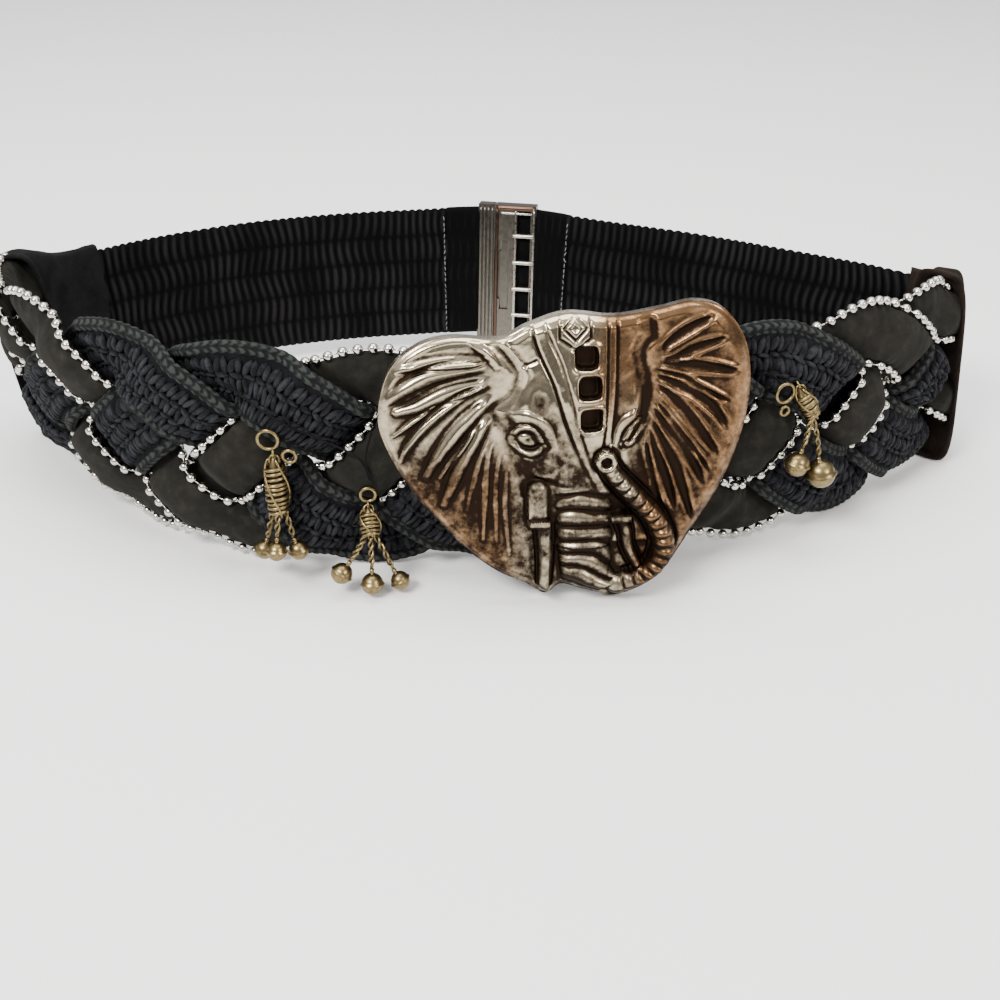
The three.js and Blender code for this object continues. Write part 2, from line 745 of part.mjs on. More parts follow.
function ringPoint(charm, ring, shift, up) {
  const face = Math.max(ringFace(charm, charm.rings[0]), ringFace(charm, ring));
  return bandPoint(charm.along + ring.shift + shift, face + seatGap + ringWire / 2, ring.up + up);
}

function ringSolid(charm, ring) {
  const geometry = new THREE.TorusGeometry((ring.diameter - ringWire) / 2, ringWire / 2, 5, 12);
  const place = ringPoint(charm, ring, 0, 0);
  const side = ringPoint(charm, ring, 1, 0);
  const above = ringPoint(charm, ring, 0, 1);
  const across = side.sub(place).normalize();
  const upwards = above.sub(place).normalize();
  const facing = new THREE.Vector3().crossVectors(across, upwards);
  geometry.applyMatrix4(new THREE.Matrix4().makeBasis(across, upwards, facing));
  geometry.translate(place.x, place.y, place.z);
  return geometry;
}

function bellTop(charm, bell) {
  const middle = charmPoint(charm, bell.shift, bell.out + bell.diameter / 2, bell.up);
  const foot = stemFoot(charm);
  const upwards = foot.sub(middle).normalize();
  return { middle, top: middle.clone().addScaledVector(upwards, bell.diameter / 2 + bellStem) };
}

function stemFoot(charm) {
  const [shift, out, up] = charm.foot;
  return charmPoint(charm, shift, out + wrapDiameter / 2, up);
}

function stemTop(charm) {
  const ring = charm.rings[0];
  const reach = (ring.diameter + eyeDiameter) / 2 + seatGap;
  const angle = THREE.MathUtils.degToRad(charm.hangs);
  return ringPoint(charm, ring, reach * Math.cos(angle), reach * Math.sin(angle));
}

function bellSolid(charm, bell) {
  const radius = bell.diameter / 2;
  const profile = [];
  for (let i = 0; i <= bellSteps; i += 1) {
    const angle = -Math.PI / 2 + (i / bellSteps) * Math.PI * 0.93;
    profile.push(new THREE.Vector2(i === 0 ? 0 : radius * Math.cos(angle), radius * Math.sin(angle)));
  }
  profile.push(new THREE.Vector2(legWire / 2, radius + bellStem));
  profile.push(new THREE.Vector2(0, radius + bellStem));
  const { middle, top } = bellTop(charm, bell);
  return aim(new THREE.LatheGeometry(profile, bellSides), middle, top);
}

function stemSolid(charm) {
  const top = stemTop(charm);
  const foot = stemFoot(charm);
  const length = top.distanceTo(foot);
  const profile = [
    new THREE.Vector2(0, 0),
    new THREE.Vector2(wrapDiameter * 0.3, 0),
    new THREE.Vector2(wrapDiameter * 0.5, length * 0.2),
    new THREE.Vector2(wrapDiameter * 0.5, length * 0.7),
    new THREE.Vector2(eyeDiameter / 2, length),
    new THREE.Vector2(0, length),
  ];
  let solid = toManifold(aim(new THREE.LatheGeometry(profile, bellSides), foot, top));
  const inside = foot.clone().lerp(top, 0.3);
  for (const bell of charm.bells) {
    const seat = bellTop(charm, bell).top;
    const end = seat.clone().add(inside.clone().sub(seat).setLength(seatGap));
    solid = solid.add(toManifold(rod(inside, end, legWire, 5)));
  }
  return fromManifold(solid);
}

for (const charm of charms) {
  charm.rings.forEach((ring, i) => {
    add(`${charm.name}_ring_${i + 1}`, outwardFacing(ringSolid(charm, ring)), "brass");
  });
  add(`${charm.name}_stem`, stemSolid(charm), "brass");
  charm.bells.forEach((bell, i) => {
    add(`${charm.name}_bell_${i + 1}`, outwardFacing(bellSolid(charm, bell)), "brass");
  });
}

// The origin lies under the middle of the belt, on the surface it stands on.
belt.updateMatrixWorld(true);
const bounds = new THREE.Box3().setFromObject(belt, true);
const middle = bounds.getCenter(new THREE.Vector3());
belt.position.set(-middle.x, -middle.y, -bounds.min.z);

export default belt;
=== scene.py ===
import math

import bpy
import mathutils
import numpy as np
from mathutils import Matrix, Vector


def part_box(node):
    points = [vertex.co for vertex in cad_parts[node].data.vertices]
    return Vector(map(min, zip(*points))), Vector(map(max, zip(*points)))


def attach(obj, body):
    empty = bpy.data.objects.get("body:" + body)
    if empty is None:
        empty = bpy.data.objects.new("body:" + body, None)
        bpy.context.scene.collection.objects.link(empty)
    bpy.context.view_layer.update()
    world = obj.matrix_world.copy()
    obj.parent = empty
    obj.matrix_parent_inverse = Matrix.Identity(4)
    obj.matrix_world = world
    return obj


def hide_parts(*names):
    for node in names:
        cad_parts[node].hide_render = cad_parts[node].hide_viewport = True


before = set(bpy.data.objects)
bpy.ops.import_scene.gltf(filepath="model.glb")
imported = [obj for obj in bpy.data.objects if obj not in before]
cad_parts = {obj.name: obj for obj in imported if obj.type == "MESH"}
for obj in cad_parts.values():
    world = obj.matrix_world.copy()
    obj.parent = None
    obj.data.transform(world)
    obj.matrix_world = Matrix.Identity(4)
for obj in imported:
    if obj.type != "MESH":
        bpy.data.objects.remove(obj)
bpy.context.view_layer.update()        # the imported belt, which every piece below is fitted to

scene = bpy.context.scene
mm = 0.001
rng = np.random.default_rng(7)

# Everything is worked out in millimetres, with places along the loop measured from the
# middle of the front (towards +X) and "out" measured outwards from the middle of the band.
loop = {
    "width": 290,
    "depth": 145,
    # across, back, lean in degrees, from the front middle round the left end
    "plan": [
        (0.066, 0.028, 0), (-0.055, 0.007, 0), (-0.176, 0, 1), (-0.276, 0.055, 4),
        (-0.355, 0.166, 8), (-0.414, 0.283, 11), (-0.466, 0.414, 12), (-0.5, 0.531, 8),
        (-0.483, 0.634, 5), (-0.414, 0.759, 5), (-0.317, 0.869, 5), (-0.217, 0.938, 5),
        (-0.11, 0.979, 5), (0.014, 1, 5), (0.124, 0.897, 6), (0.234, 0.779, 9),
        (0.338, 0.655, 10), (0.417, 0.586, 7), (0.47, 0.551, 0), (0.496, 0.483, -4),
        (0.478, 0.414, -4), (0.438, 0.345, 0), (0.393, 0.269, 0), (0.341, 0.186, 0),
        (0.276, 0.117, 0), (0.193, 0.062, 0),
    ],
}
braid = {
    "height": 68, "pitch": 140, "left": -200, "right": 138, "gap": 0.3,
    "layer": 9.4,          # from the front layer to the back layer
    "taper": 45, "narrow": 0.84, "skew": 20,
    "windowIn": 0.5, "windowOut": 3.2,
}


def strandFamily(suedeHalf, crochetHalf, suedeThick, crochetThick):
    rows = [("suede_strand_1", -17.5), ("crochet_strand_1", 17.5), ("crochet_strand_2", 52.5), ("suede_strand_2", 87.5)]
    family = {}
    for name, top in rows:
        suede = name.startswith("suede")
        half, thick = (suedeHalf, suedeThick) if suede else (crochetHalf, crochetThick)
        family[name] = {"top": top, "half": half, "thick": thick, "family": family}
    return family


packed = strandFamily(8.7, 8.7, 5, 5.4)
strands = strandFamily(10.4, 11.8, 6, 6.2)      # fuller, as they press on each other


def smooth(value, low, high):
    share = np.clip((value - low) / (high - low), 0, 1)
    return share * share * (3 - 2 * share)


def splineThrough(points, perSpan, closed):
    # Catmull-Rom line through the points
    p = np.array(points, float)
    if closed:
        p = np.vstack([p[-1:], p, p[:2]])
    else:
        p = np.vstack([2 * p[:1] - p[1:2], p, 2 * p[-1:] - p[-2:-1]])
    a, b = p[1:-2, None], p[2:-1, None]
    ma, mb = (p[2:-1, None] - p[:-3, None]) / 2, (p[3:, None] - p[1:-2, None]) / 2
    t = (np.arange(perSpan) / perSpan)[None, :, None]
    line = (2 * t**3 - 3 * t**2 + 1) * a + (t**3 - 2 * t**2 + t) * ma
    line = line + (3 * t**2 - 2 * t**3) * b + (t**3 - t**2) * mb
    line = line.reshape(-1, p.shape[1])
    return line if closed else np.vstack([line, p[-2:-1]])


planRows = [
    (across * loop["width"], back * loop["depth"], math.tan(math.radians(lean)))
    for across, back, lean in loop["plan"]
]
loopLine = splineThrough(planRows, 300, True)
loopLine = np.vstack([loopLine, loopLine[:1]])
loopArc = np.r_[0, np.cumsum(np.linalg.norm(np.diff(loopLine, axis=0), axis=1))]
loopLength = loopArc[-1]
loopHeading = np.gradient(np.vstack([loopLine[-2:-1], loopLine, loopLine[1:2]]), axis=0)[1:-1, :2]
loopHeading /= np.linalg.norm(loopHeading, axis=1, keepdims=True)


def bandPoint(along, out, up):
    along, out, up = np.broadcast_arrays(*(np.asarray(v, float) for v in (along, out, up)))
    arc = np.mod(-along, loopLength)
    x, y, lean = (np.interp(arc, loopArc, loopLine[:, k]) for k in range(3))
    hx, hy = (np.interp(arc, loopArc, loopHeading[:, k]) for k in range(2))
    size = np.hypot(hx, hy)
    reach = (out + up * lean) / size
    return np.stack([x - hy * reach, y + hx * reach, up], -1)


def strandPhase(strand, along):
    return 2 * np.pi * (along - strand["top"]) / braid["pitch"]


def strandHeight(strand, along):
    fromEnd = np.minimum(along - braid["left"], braid["right"] - along)
    narrow = braid["narrow"] + (1 - braid["narrow"]) * smooth(fromEnd, 0, braid["taper"])
    reach = braid["height"] / 2 - strand["half"]
    return braid["height"] / 2 + reach * narrow * np.cos(strandPhase(strand, along))


def strandSlope(strand, along):
    return strandHeight(strand, along + 0.5) - strandHeight(strand, along - 0.5)


def strandDepth(strand, along, up):
    # in front of one neighbour and behind the next, changing sides in the gaps between them
    depth = 0
    for other in strand["family"].values():
        if other is strand:
            continue
        lag = 2 * np.pi * (other["top"] - strand["top"]) / braid["pitch"]
        turn = np.floor((strandPhase(strand, along) - lag / 2) / np.pi + 0.5)
        side = np.sign(np.sin(1.5 * lag)) * np.where(turn % 2 == 0, 1, -1)
        apart = np.abs(up - strandHeight(other, along)) / np.hypot(1, strandSlope(other, along))
        low, high = other["half"] * braid["windowIn"], other["half"] + braid["windowOut"]
        depth = depth + side * (1 - smooth(apart, low, high))
    return np.clip(depth, -1, 1) * braid["layer"] / 2


def strandPoint(strand, along, across, out):
    along, across, out = np.broadcast_arrays(along, across, out)
    slope = strandSlope(strand, along)
    length = np.hypot(1, slope)
    fromEnd = np.minimum(along - braid["left"], braid["right"] - along)
    placeAlong = along - across * slope * smooth(fromEnd, 0, braid["skew"]) / length
    placeUp = strandHeight(strand, along) + across / length
    return bandPoint(placeAlong, strandDepth(strand, placeAlong, placeUp) + out, placeUp)


def strandArc(strand, steps):
    # places along the braid with the length of strand up to each
    along = np.linspace(braid["left"] + braid["gap"], braid["right"] - braid["gap"], steps)
    step = np.linalg.norm(np.diff(strandPoint(strand, along, 0.0, 0.0), axis=0), axis=1)
    return along, np.r_[0, np.cumsum(step)]


def faceOut(along, up, family=packed):
    face = -1e9
    for strand in family.values():
        across = (up - strandHeight(strand, along)) / math.hypot(1, strandSlope(strand, along))
        if abs(across) <= strand["half"]:
            face = max(face, float(strandDepth(strand, along, up)) + strand["thick"] / 2)
    return 0 if face == -1e9 else face


# Mesh helpers: a part is (points, quads, triangles)
def tubePart(rows):
    # rings of points joined into a closed tube with fanned ends
    n, m = rows.shape[:2]
    index = np.arange(n * m).reshape(n, m)
    after = np.roll(index, -1, 1)
    quads = np.stack([index[:-1], after[:-1], after[1:], index[1:]], -1).reshape(-1, 4)
    points = np.vstack([rows.reshape(-1, 3), rows[0].mean(0), rows[-1].mean(0)])
    first = np.stack([np.full(m, n * m), after[0], index[0]], -1)
    last = np.stack([np.full(m, n * m + 1), index[-1], after[-1]], -1)
    return outward((points, quads, np.vstack([first, last])))


def volumeOf(part):
    points, quads, tris = part
    every = np.vstack([tris.reshape(-1, 3), quads[:, [0, 1, 2]], quads[:, [0, 2, 3]]])
    a, b, c = (points[every[:, k]] for k in range(3))
    return float(np.sum(a * np.cross(b, c)) / 6)


def outward(part):
    points, quads, tris = part
    return part if volumeOf(part) >= 0 else (points, quads[:, ::-1], tris[:, ::-1])


def joinParts(parts):
    points, quads, tris, start = [], [], [], 0
    for p, q, t in parts:
        points.append(p)
        quads.append(np.asarray(q, int).reshape(-1, 4) + start)
        tris.append(np.asarray(t, int).reshape(-1, 3) + start)
        start += len(p)
    return np.vstack(points), np.vstack(quads), np.vstack(tris)


def pathFrames(path):
    ahead = np.gradient(path, axis=0)
    ahead /= np.linalg.norm(ahead, axis=1, keepdims=True)
    side = np.zeros_like(path)
    start = np.cross(ahead[0], (0, 0, 1))
    if np.linalg.norm(start) < 0.2:
        start = np.cross(ahead[0], (0, 1, 0))
    side[0] = start / np.linalg.norm(start)
    for i in range(1, len(path)):
        turned = side[i - 1] - ahead[i] * (side[i - 1] @ ahead[i])
        side[i] = turned / np.linalg.norm(turned)
    return ahead, side, np.cross(ahead, side)


def wirePart(path, radius, sides=8):
    path = np.asarray(path, float)
    _, side, over = pathFrames(path)
    angle = 2 * np.pi * np.arange(sides) / sides
    radius = np.broadcast_to(np.asarray(radius, float), (len(path),)) if np.ndim(radius) < 2 else radius
    reach = radius[:, None] if np.ndim(radius) < 2 else radius
    ring = side[:, None] * np.cos(angle)[None, :, None] + over[:, None] * np.sin(angle)[None, :, None]
    return tubePart(path[:, None] + ring * reach[..., None])


def resample(path, step):
    arc = np.r_[0, np.cumsum(np.linalg.norm(np.diff(path, axis=0), axis=1))]
    count = max(2, int(round(arc[-1] / step)) + 1)
    at = np.linspace(0, arc[-1], count)
    return np.stack([np.interp(at, arc, path[:, k]) for k in range(3)], -1)


def ringPart(middle, across, upwards, radius, wire, steps=36, sides=10):
    turn = 2 * np.pi * np.arange(steps) / steps
    facing = np.cross(across, upwards)
    spoke = np.cos(turn)[:, None] * across + np.sin(turn)[:, None] * upwards
    angle = 2 * np.pi * np.arange(sides) / sides
    rows = middle + spoke[:, None] * (radius + wire * np.cos(angle))[None, :, None]
    rows = rows + facing * (wire * np.sin(angle))[None, :, None]
    index = np.arange(steps * sides).reshape(steps, sides)
    a, b = index, np.roll(index, -1, 1)
    quads = np.stack([a, b, np.roll(b, -1, 0), np.roll(a, -1, 0)], -1).reshape(-1, 4)
    return outward((rows.reshape(-1, 3), quads, np.zeros((0, 3), int)))


def lathePart(middle, axis, profile, sides=24):
    # profile: (radius, height) rows from the bottom to the top, turned about the axis
    profile = np.asarray(profile, float)
    axis = axis / np.linalg.norm(axis)
    side = np.cross(axis, (0.3, 1, 0.2))
    side /= np.linalg.norm(side)
    over = np.cross(axis, side)
    angle = 2 * np.pi * np.arange(sides) / sides
    spoke = np.cos(angle)[:, None] * side + np.sin(angle)[:, None] * over
    rows = middle + spoke[None] * profile[:, 0][:, None, None] + axis * profile[:, 1][:, None, None]
    return tubePart(rows)


def softNoise(u, v, size, seed):
    # a slow wandering surface between about -1 and 1
    draw = np.random.default_rng(seed)
    total = 0
    for _ in range(6):
        turn, shift = draw.uniform(0, 2 * np.pi, 2)
        stretch = draw.uniform(0.6, 1.7) * 2 * np.pi / size
        total = total + np.sin((u * np.cos(turn) + v * np.sin(turn)) * stretch + shift)
    return total / 3.2


# Where the part's own frame puts the loop: the left cap's lowest corner, worked out and as packed
cap = {"length": 26, "leftHeight": 56, "rightHeight": 61, "thick": 14, "thin": 5.6}
elastic = {"foot": 6, "height": 48, "thick": 2, "rib": 2.9, "ribHeight": 0.6, "hem": 12, "hemThick": 3.6}


def capSection(share, tall):
    height = tall - (tall - elastic["foot"] - elastic["height"] - 2) * smooth(share, 0.2, 1)
    return height, cap["thick"] - (cap["thick"] - cap["thin"]) * smooth(share, 0.1, 0.9)


capShares = np.linspace(0, 1, 9)
capTall, capThick = capSection(capShares, cap["leftHeight"])
corners = [
    bandPoint(braid["left"] - capShares * cap["length"], side * capThick / 2, level * capTall)
    for side in (-1, 1) for level in (0, 1)
]
ownCorner = np.vstack(corners).min(0)
beltPlace = np.array(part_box("end_cap_left")[0]) / mm - ownCorner
print("belt place in mm", beltPlace.round(3))


def toRow(points):
    return (np.asarray(points) + beltPlace) * mm


# Camera at the photograph's height and angle
view = {"height": 207.3, "pitch": 27, "lens": 46.8, "shiftX": 0.017, "shiftY": -0.1}
cameraData = bpy.data.cameras.new("camera")
cameraData.lens = view["lens"]
cameraData.sensor_width = 36
cameraData.shift_x = view["shiftX"]
cameraData.shift_y = view["shiftY"]
camera = bpy.data.objects.new("camera", cameraData)
camera.location = toRow([-4, -307, view["height"]])
camera.rotation_euler = (math.radians(90 - view["pitch"]), 0, 0)
scene.collection.objects.link(camera)
scene.camera = camera


# Materials
def newMaterial(name, color, roughness, metallic=0.0):
    material = bpy.data.materials.new(name)
    material.use_nodes = True
    tree = material.node_tree
    shader = tree.nodes["Principled BSDF"]
    shader.inputs["Base Color"].default_value = (*color, 1)
    shader.inputs["Roughness"].default_value = roughness
    shader.inputs["Metallic"].default_value = metallic
    return material, tree, shader


def addNode(tree, kind, settings=None, links=None):
    node = tree.nodes.new(kind)
    for key, value in (settings or {}).items():
        if isinstance(key, int) or key in node.inputs:
            node.inputs[key].default_value = value
        else:
            setattr(node, key, value)
    for key, socket in (links or {}).items():
        tree.links.new(socket, node.inputs[key])
    return node


def noiseOf(tree, scale, detail=2.0, rough=0.5, stretch=None):
    place = addNode(tree, "ShaderNodeTexCoord")
    vector = place.outputs["Object"]
    if stretch:
        mapping = addNode(tree, "ShaderNodeMapping", {"Scale": stretch}, {"Vector": vector})
        vector = mapping.outputs["Vector"]
    noise = addNode(
        tree, "ShaderNodeTexNoise", {"Scale": scale, "Detail": detail, "Roughness": rough}, {"Vector": vector}
    )
    return noise.outputs["Fac"]


def rampOf(tree, factor, stops):
    ramp = addNode(tree, "ShaderNodeValToRGB", None, {"Fac": factor})
    line = ramp.color_ramp
    while len(line.elements) < len(stops):
        line.elements.new(0.5)
    for element, (place, color) in zip(line.elements, stops):
        element.position = place
        element.color = (*color, 1)
    return ramp.outputs["Color"]


def bumpOf(tree, shader, height, strength, distance, normal=None):
    links = {"Height": height}
    if normal:
        links["Normal"] = normal
    bump = addNode(tree, "ShaderNodeBump", {"Strength": strength, "Distance": distance}, links)
    tree.links.new(bump.outputs["Normal"], shader.inputs["Normal"])
    return bump.outputs["Normal"]


def suedeMaterial():
    material, tree, shader = newMaterial("suede", (0.02, 0.018, 0.014), 0.95)
    mottle = noiseOf(tree, 240, 4, 0.6)
    color = rampOf(tree, mottle, [(0.3, (0.007, 0.0066, 0.0055)), (0.55, (0.0125, 0.0117, 0.0096)), (0.78, (0.022, 0.0205, 0.017))])
    tree.links.new(color, shader.inputs["Base Color"])
    shader.inputs["Sheen Weight"].default_value = 0.03
    shader.inputs["Sheen Roughness"].default_value = 0.5
    shader.inputs["Sheen Tint"].default_value = (0.6, 0.58, 0.52, 1)
    shader.inputs["Specular IOR Level"].default_value = 0.08
    nap = noiseOf(tree, 3200, 3, 0.6)
    first = bumpOf(tree, shader, nap, 0.35, 0.00025)
    bumpOf(tree, shader, mottle, 0.3, 0.0006, first)
    return material


def yarnMaterial(name, dark, middle, light, sheen, paintedCrestLight=0.0):
    material, tree, shader = newMaterial(name, middle, 0.88)
    patches = noiseOf(tree, 420, 4, 0.65)
    if paintedCrestLight:
        # painted highlight and painted shade: the outside of each stitch is painted paler than the yarn between them
        held = addNode(tree, "ShaderNodeAttribute", {"attribute_name": "paintedCrestLight"}).outputs["Fac"]
        lift = addNode(tree, "ShaderNodeMath", {"operation": "MULTIPLY_ADD", 1: paintedCrestLight, 2: -paintedCrestLight / 2}, {0: held})
        both = addNode(tree, "ShaderNodeMath", {"operation": "ADD"}, {0: patches, 1: lift.outputs[0]})
        patches = both.outputs[0]
    color = rampOf(tree, patches, [(0.28, dark), (0.5, middle), (0.72, light)])
    tree.links.new(color, shader.inputs["Base Color"])
    shader.inputs["Sheen Weight"].default_value = sheen
    shader.inputs["Sheen Roughness"].default_value = 0.4
    shader.inputs["Sheen Tint"].default_value = (0.7, 0.72, 0.82, 1)
    shader.inputs["Specular IOR Level"].default_value = 0.15
    hair = noiseOf(tree, 2100, 5, 0.75)
    bumpOf(tree, shader, hair, 1.0, 0.0006)
    return material


def clothMaterial(name, dark, light, scale, strength, paintedCrestLight=False):
    material, tree, shader = newMaterial(name, dark, 0.9)
    patches = noiseOf(tree, 160, 4, 0.6)
    if paintedCrestLight:
        # painted highlight: the ridges are painted paler, as where they catch the light
        held = addNode(tree, "ShaderNodeAttribute", {"attribute_name": "paintedCrestLight"}).outputs["Fac"]
        both = addNode(tree, "ShaderNodeMath", {"operation": "MULTIPLY_ADD", 1: 0.25}, {0: patches, 2: held})
        patches = both.outputs[0]
    color = rampOf(tree, patches, [(0.3, dark), (0.95 if paintedCrestLight else 0.75, light)])
    tree.links.new(color, shader.inputs["Base Color"])
    shader.inputs["Sheen Weight"].default_value = 0.02
    shader.inputs["Sheen Roughness"].default_value = 0.5
    shader.inputs["Sheen Tint"].default_value = (0.7, 0.7, 0.72, 1)
    shader.inputs["Specular IOR Level"].default_value = 0.06
    weave = noiseOf(tree, scale, 3, 0.6)
    bumpOf(tree, shader, weave, strength, 0.0003)
    return material


def polishedMaterial(name, color, roughness):
    material, tree, shader = newMaterial(name, color, roughness, 1.0)
    wear = noiseOf(tree, 700, 4, 0.6)
    low = tuple(v * 0.72 for v in color)
    tree.links.new(rampOf(tree, wear, [(0.3, low), (0.6, color)]), shader.inputs["Base Color"])
    marks = addNode(
        tree, "ShaderNodeMapRange", {"To Min": roughness * 0.7, "To Max": roughness * 1.7}, {"Value": wear}
    )
    tree.links.new(marks.outputs["Result"], shader.inputs["Roughness"])
    bumpOf(tree, shader, noiseOf(tree, 1500, 2, 0.5), 0.06, 0.0002)
    return material


def patinaMaterial(name, bright, warm, dark, roughness, clean):
    # polished high points over a dark patina; the casting holds its patina and painted shade in the hollows and
    # undersides, how warm it is, and where painted shade darkens it
    material, tree, shader = newMaterial(name, bright, roughness, 1.0)
    cloud = noiseOf(tree, 260, 4, 0.6)
    held = {}
    for key in ("hollow", "warm", "paintedShade"):
        held[key] = addNode(tree, "ShaderNodeAttribute", {"attribute_name": key}).outputs["Fac"]
    patchy = addNode(tree, "ShaderNodeMath", {"operation": "MULTIPLY_ADD", 1: 0.5, 2: -0.25}, {0: cloud})
    warmer = addNode(
        tree, "ShaderNodeMath", {"operation": "ADD", "use_clamp": True}, {0: held["warm"], 1: patchy.outputs[0]}
    )
    tone = addNode(tree, "ShaderNodeMix", {"data_type": "RGBA"}, {"Factor": warmer.outputs[0]})
    tone.inputs["A"].default_value = (*bright, 1)
    tone.inputs["B"].default_value = (*warm, 1)
    grain = noiseOf(tree, 900, 4, 0.65)
    depth = addNode(tree, "ShaderNodeMath", {"operation": "MULTIPLY_ADD", 1: 0.5}, {0: grain, 2: held["hollow"]})
    clouded = addNode(tree, "ShaderNodeMath", {"operation": "MULTIPLY_ADD", 1: 1.5, 2: -0.25}, {0: cloud})
    # painted shade from the casting, clouded by noise, is added to the patina's darkening
    cloudedPaintedShade = addNode(
        tree, "ShaderNodeMath", {"operation": "MULTIPLY"}, {0: held["paintedShade"], 1: clouded.outputs[0]}
    )
    patinaWithPaintedShade = addNode(
        tree, "ShaderNodeMath", {"operation": "MULTIPLY_ADD", 1: 0.6}, {0: cloudedPaintedShade.outputs[0], 2: depth.outputs[0]}
    )
    patinaAndShadeMix = addNode(
        tree, "ShaderNodeMapRange",
        {"From Min": clean, "From Max": clean + 0.6, "interpolation_type": "SMOOTHSTEP"},
        {"Value": patinaWithPaintedShade.outputs[0]},
    )
    color = addNode(
        tree, "ShaderNodeMix", {"data_type": "RGBA"},
        {"Factor": patinaAndShadeMix.outputs["Result"], "A": tone.outputs["Result"]},
    )
    color.inputs["B"].default_value = (*dark, 1)
    tree.links.new(color.outputs["Result"], shader.inputs["Base Color"])
    rough = addNode(
        tree, "ShaderNodeMapRange", {"To Min": roughness, "To Max": 0.55}, {"Value": patinaAndShadeMix.outputs["Result"]}
    )
    tree.links.new(rough.outputs["Result"], shader.inputs["Roughness"])
    bumpOf(tree, shader, noiseOf(tree, 650, 3, 0.6), 0.12, 0.0003)
    return material


suedeFinish = suedeMaterial()
crochetFinish = yarnMaterial("crochet_yarn", (0.0025, 0.0027, 0.0035), (0.006, 0.0063, 0.0079), (0.022, 0.023, 0.0275), 0.03, 0.45)
# the core is darker than the yarn: painted shade in the gaps between the stitches
coreAndShadeFinish = yarnMaterial("crochet_core", (0.002, 0.002, 0.003), (0.004, 0.004, 0.006), (0.008, 0.008, 0.011), 0.0)
cordFinish = yarnMaterial("knit_cord", (0.0025, 0.003, 0.003), (0.007, 0.0082, 0.0078), (0.03, 0.034, 0.031), 0.02, 0.7)
capFinish = clothMaterial("cap_cloth", (0.003, 0.003, 0.0034), (0.0095, 0.0092, 0.0093), 1900, 0.5)
brownFinish = clothMaterial("cap_cloth_brown", (0.006, 0.004, 0.003), (0.02, 0.0135, 0.010), 1900, 0.5)
elasticFinish = clothMaterial("elastic_cloth", (0.0008, 0.0008, 0.0009), (0.0105, 0.010, 0.0103), 2400, 0.4, True)
tabFinish = clothMaterial("tab_cloth", (0.001, 0.001, 0.001), (0.004, 0.004, 0.0045), 2400, 0.4)
threadFinish = clothMaterial("thread", (0.003, 0.003, 0.003), (0.008, 0.008, 0.009), 3000, 0.3)
stitchFinish = clothMaterial("stitch_thread", (0.08, 0.08, 0.085), (0.22, 0.22, 0.24), 3000, 0.3)
chainFinish = polishedMaterial("ball_chain", (0.66, 0.63, 0.57), 0.16)
claspFinish = polishedMaterial("clasp_metal", (0.17, 0.155, 0.13), 0.3)
brightFinish = polishedMaterial("clasp_bright", (0.5, 0.46, 0.4), 0.24)
brownBarFinish = polishedMaterial("clasp_brown", (0.12, 0.07, 0.05), 0.3)


def addPiece(name, part, material, replaced=(), smoothShade=True, values=None):
    points, quads, tris = part
    mesh = bpy.data.meshes.new(name)
    mesh.from_pydata(toRow(points).tolist(), [], quads.tolist() + tris.tolist())
    mesh.polygons.foreach_set("use_smooth", [smoothShade] * len(mesh.polygons))
    for key, value in (values or {}).items():
        held = mesh.attributes.new(key, "FLOAT", "POINT")
        held.data.foreach_set("value", np.asarray(value, np.float32))
    mesh.update()
    mesh.materials.append(material)
    piece = bpy.data.objects.new(name, mesh)
    scene.collection.objects.link(piece)
    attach(piece, "root")
    if replaced:
        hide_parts(*replaced)
    return piece


# Suede strips, stuffed, puckered where the chain is sewn along their edges
suedeStrip = {"width": 15.7, "thickness": 6, "sides": 30, "steps": 620, "full": 0.85, "pucker": 0.25, "wander": 0.2}
chain = {"ball": 2.8, "pitch": 4.0, "wire": 0.4, "sides": 12, "rings": 9, "edge": 8.95, "forward": 0.8}


def addSuedeStrip(strandName):
    strand = strands[strandName]
    along, arc = strandArc(strand, suedeStrip["steps"])
    angle = 2 * np.pi * (np.arange(suedeStrip["sides"]) + 0.5) / suedeStrip["sides"]
    x = np.sign(np.cos(angle)) * np.abs(np.cos(angle)) ** suedeStrip["full"]
    y = np.sign(np.sin(angle)) * np.abs(np.sin(angle)) ** suedeStrip["full"]
    sewn = 0.5 + 0.5 * np.cos(2 * np.pi * arc / chain["pitch"])[:, None]
    edge = np.abs(x)[None] ** 3
    wander = softNoise(arc[:, None], angle[None] * 5, 17, 3) + 0.5 * softNoise(arc[:, None], angle[None] * 5, 6, 4)
    fullness = 1 - suedeStrip["pucker"] * sewn * edge + suedeStrip["wander"] * wander / 5
    across = x[None] * (suedeStrip["width"] / 2 - suedeStrip["pucker"] * sewn * edge)
    out = y[None] * suedeStrip["thickness"] / 2 * fullness
    rows = strandPoint(strand, along[:, None], across, out)
    piece = addPiece("suede_strip_" + strandName[-1], tubePart(rows), suedeFinish, [strandName])


for strandName in ("suede_strand_1", "suede_strand_2"):
    addSuedeStrip(strandName)
print("suede strips made")


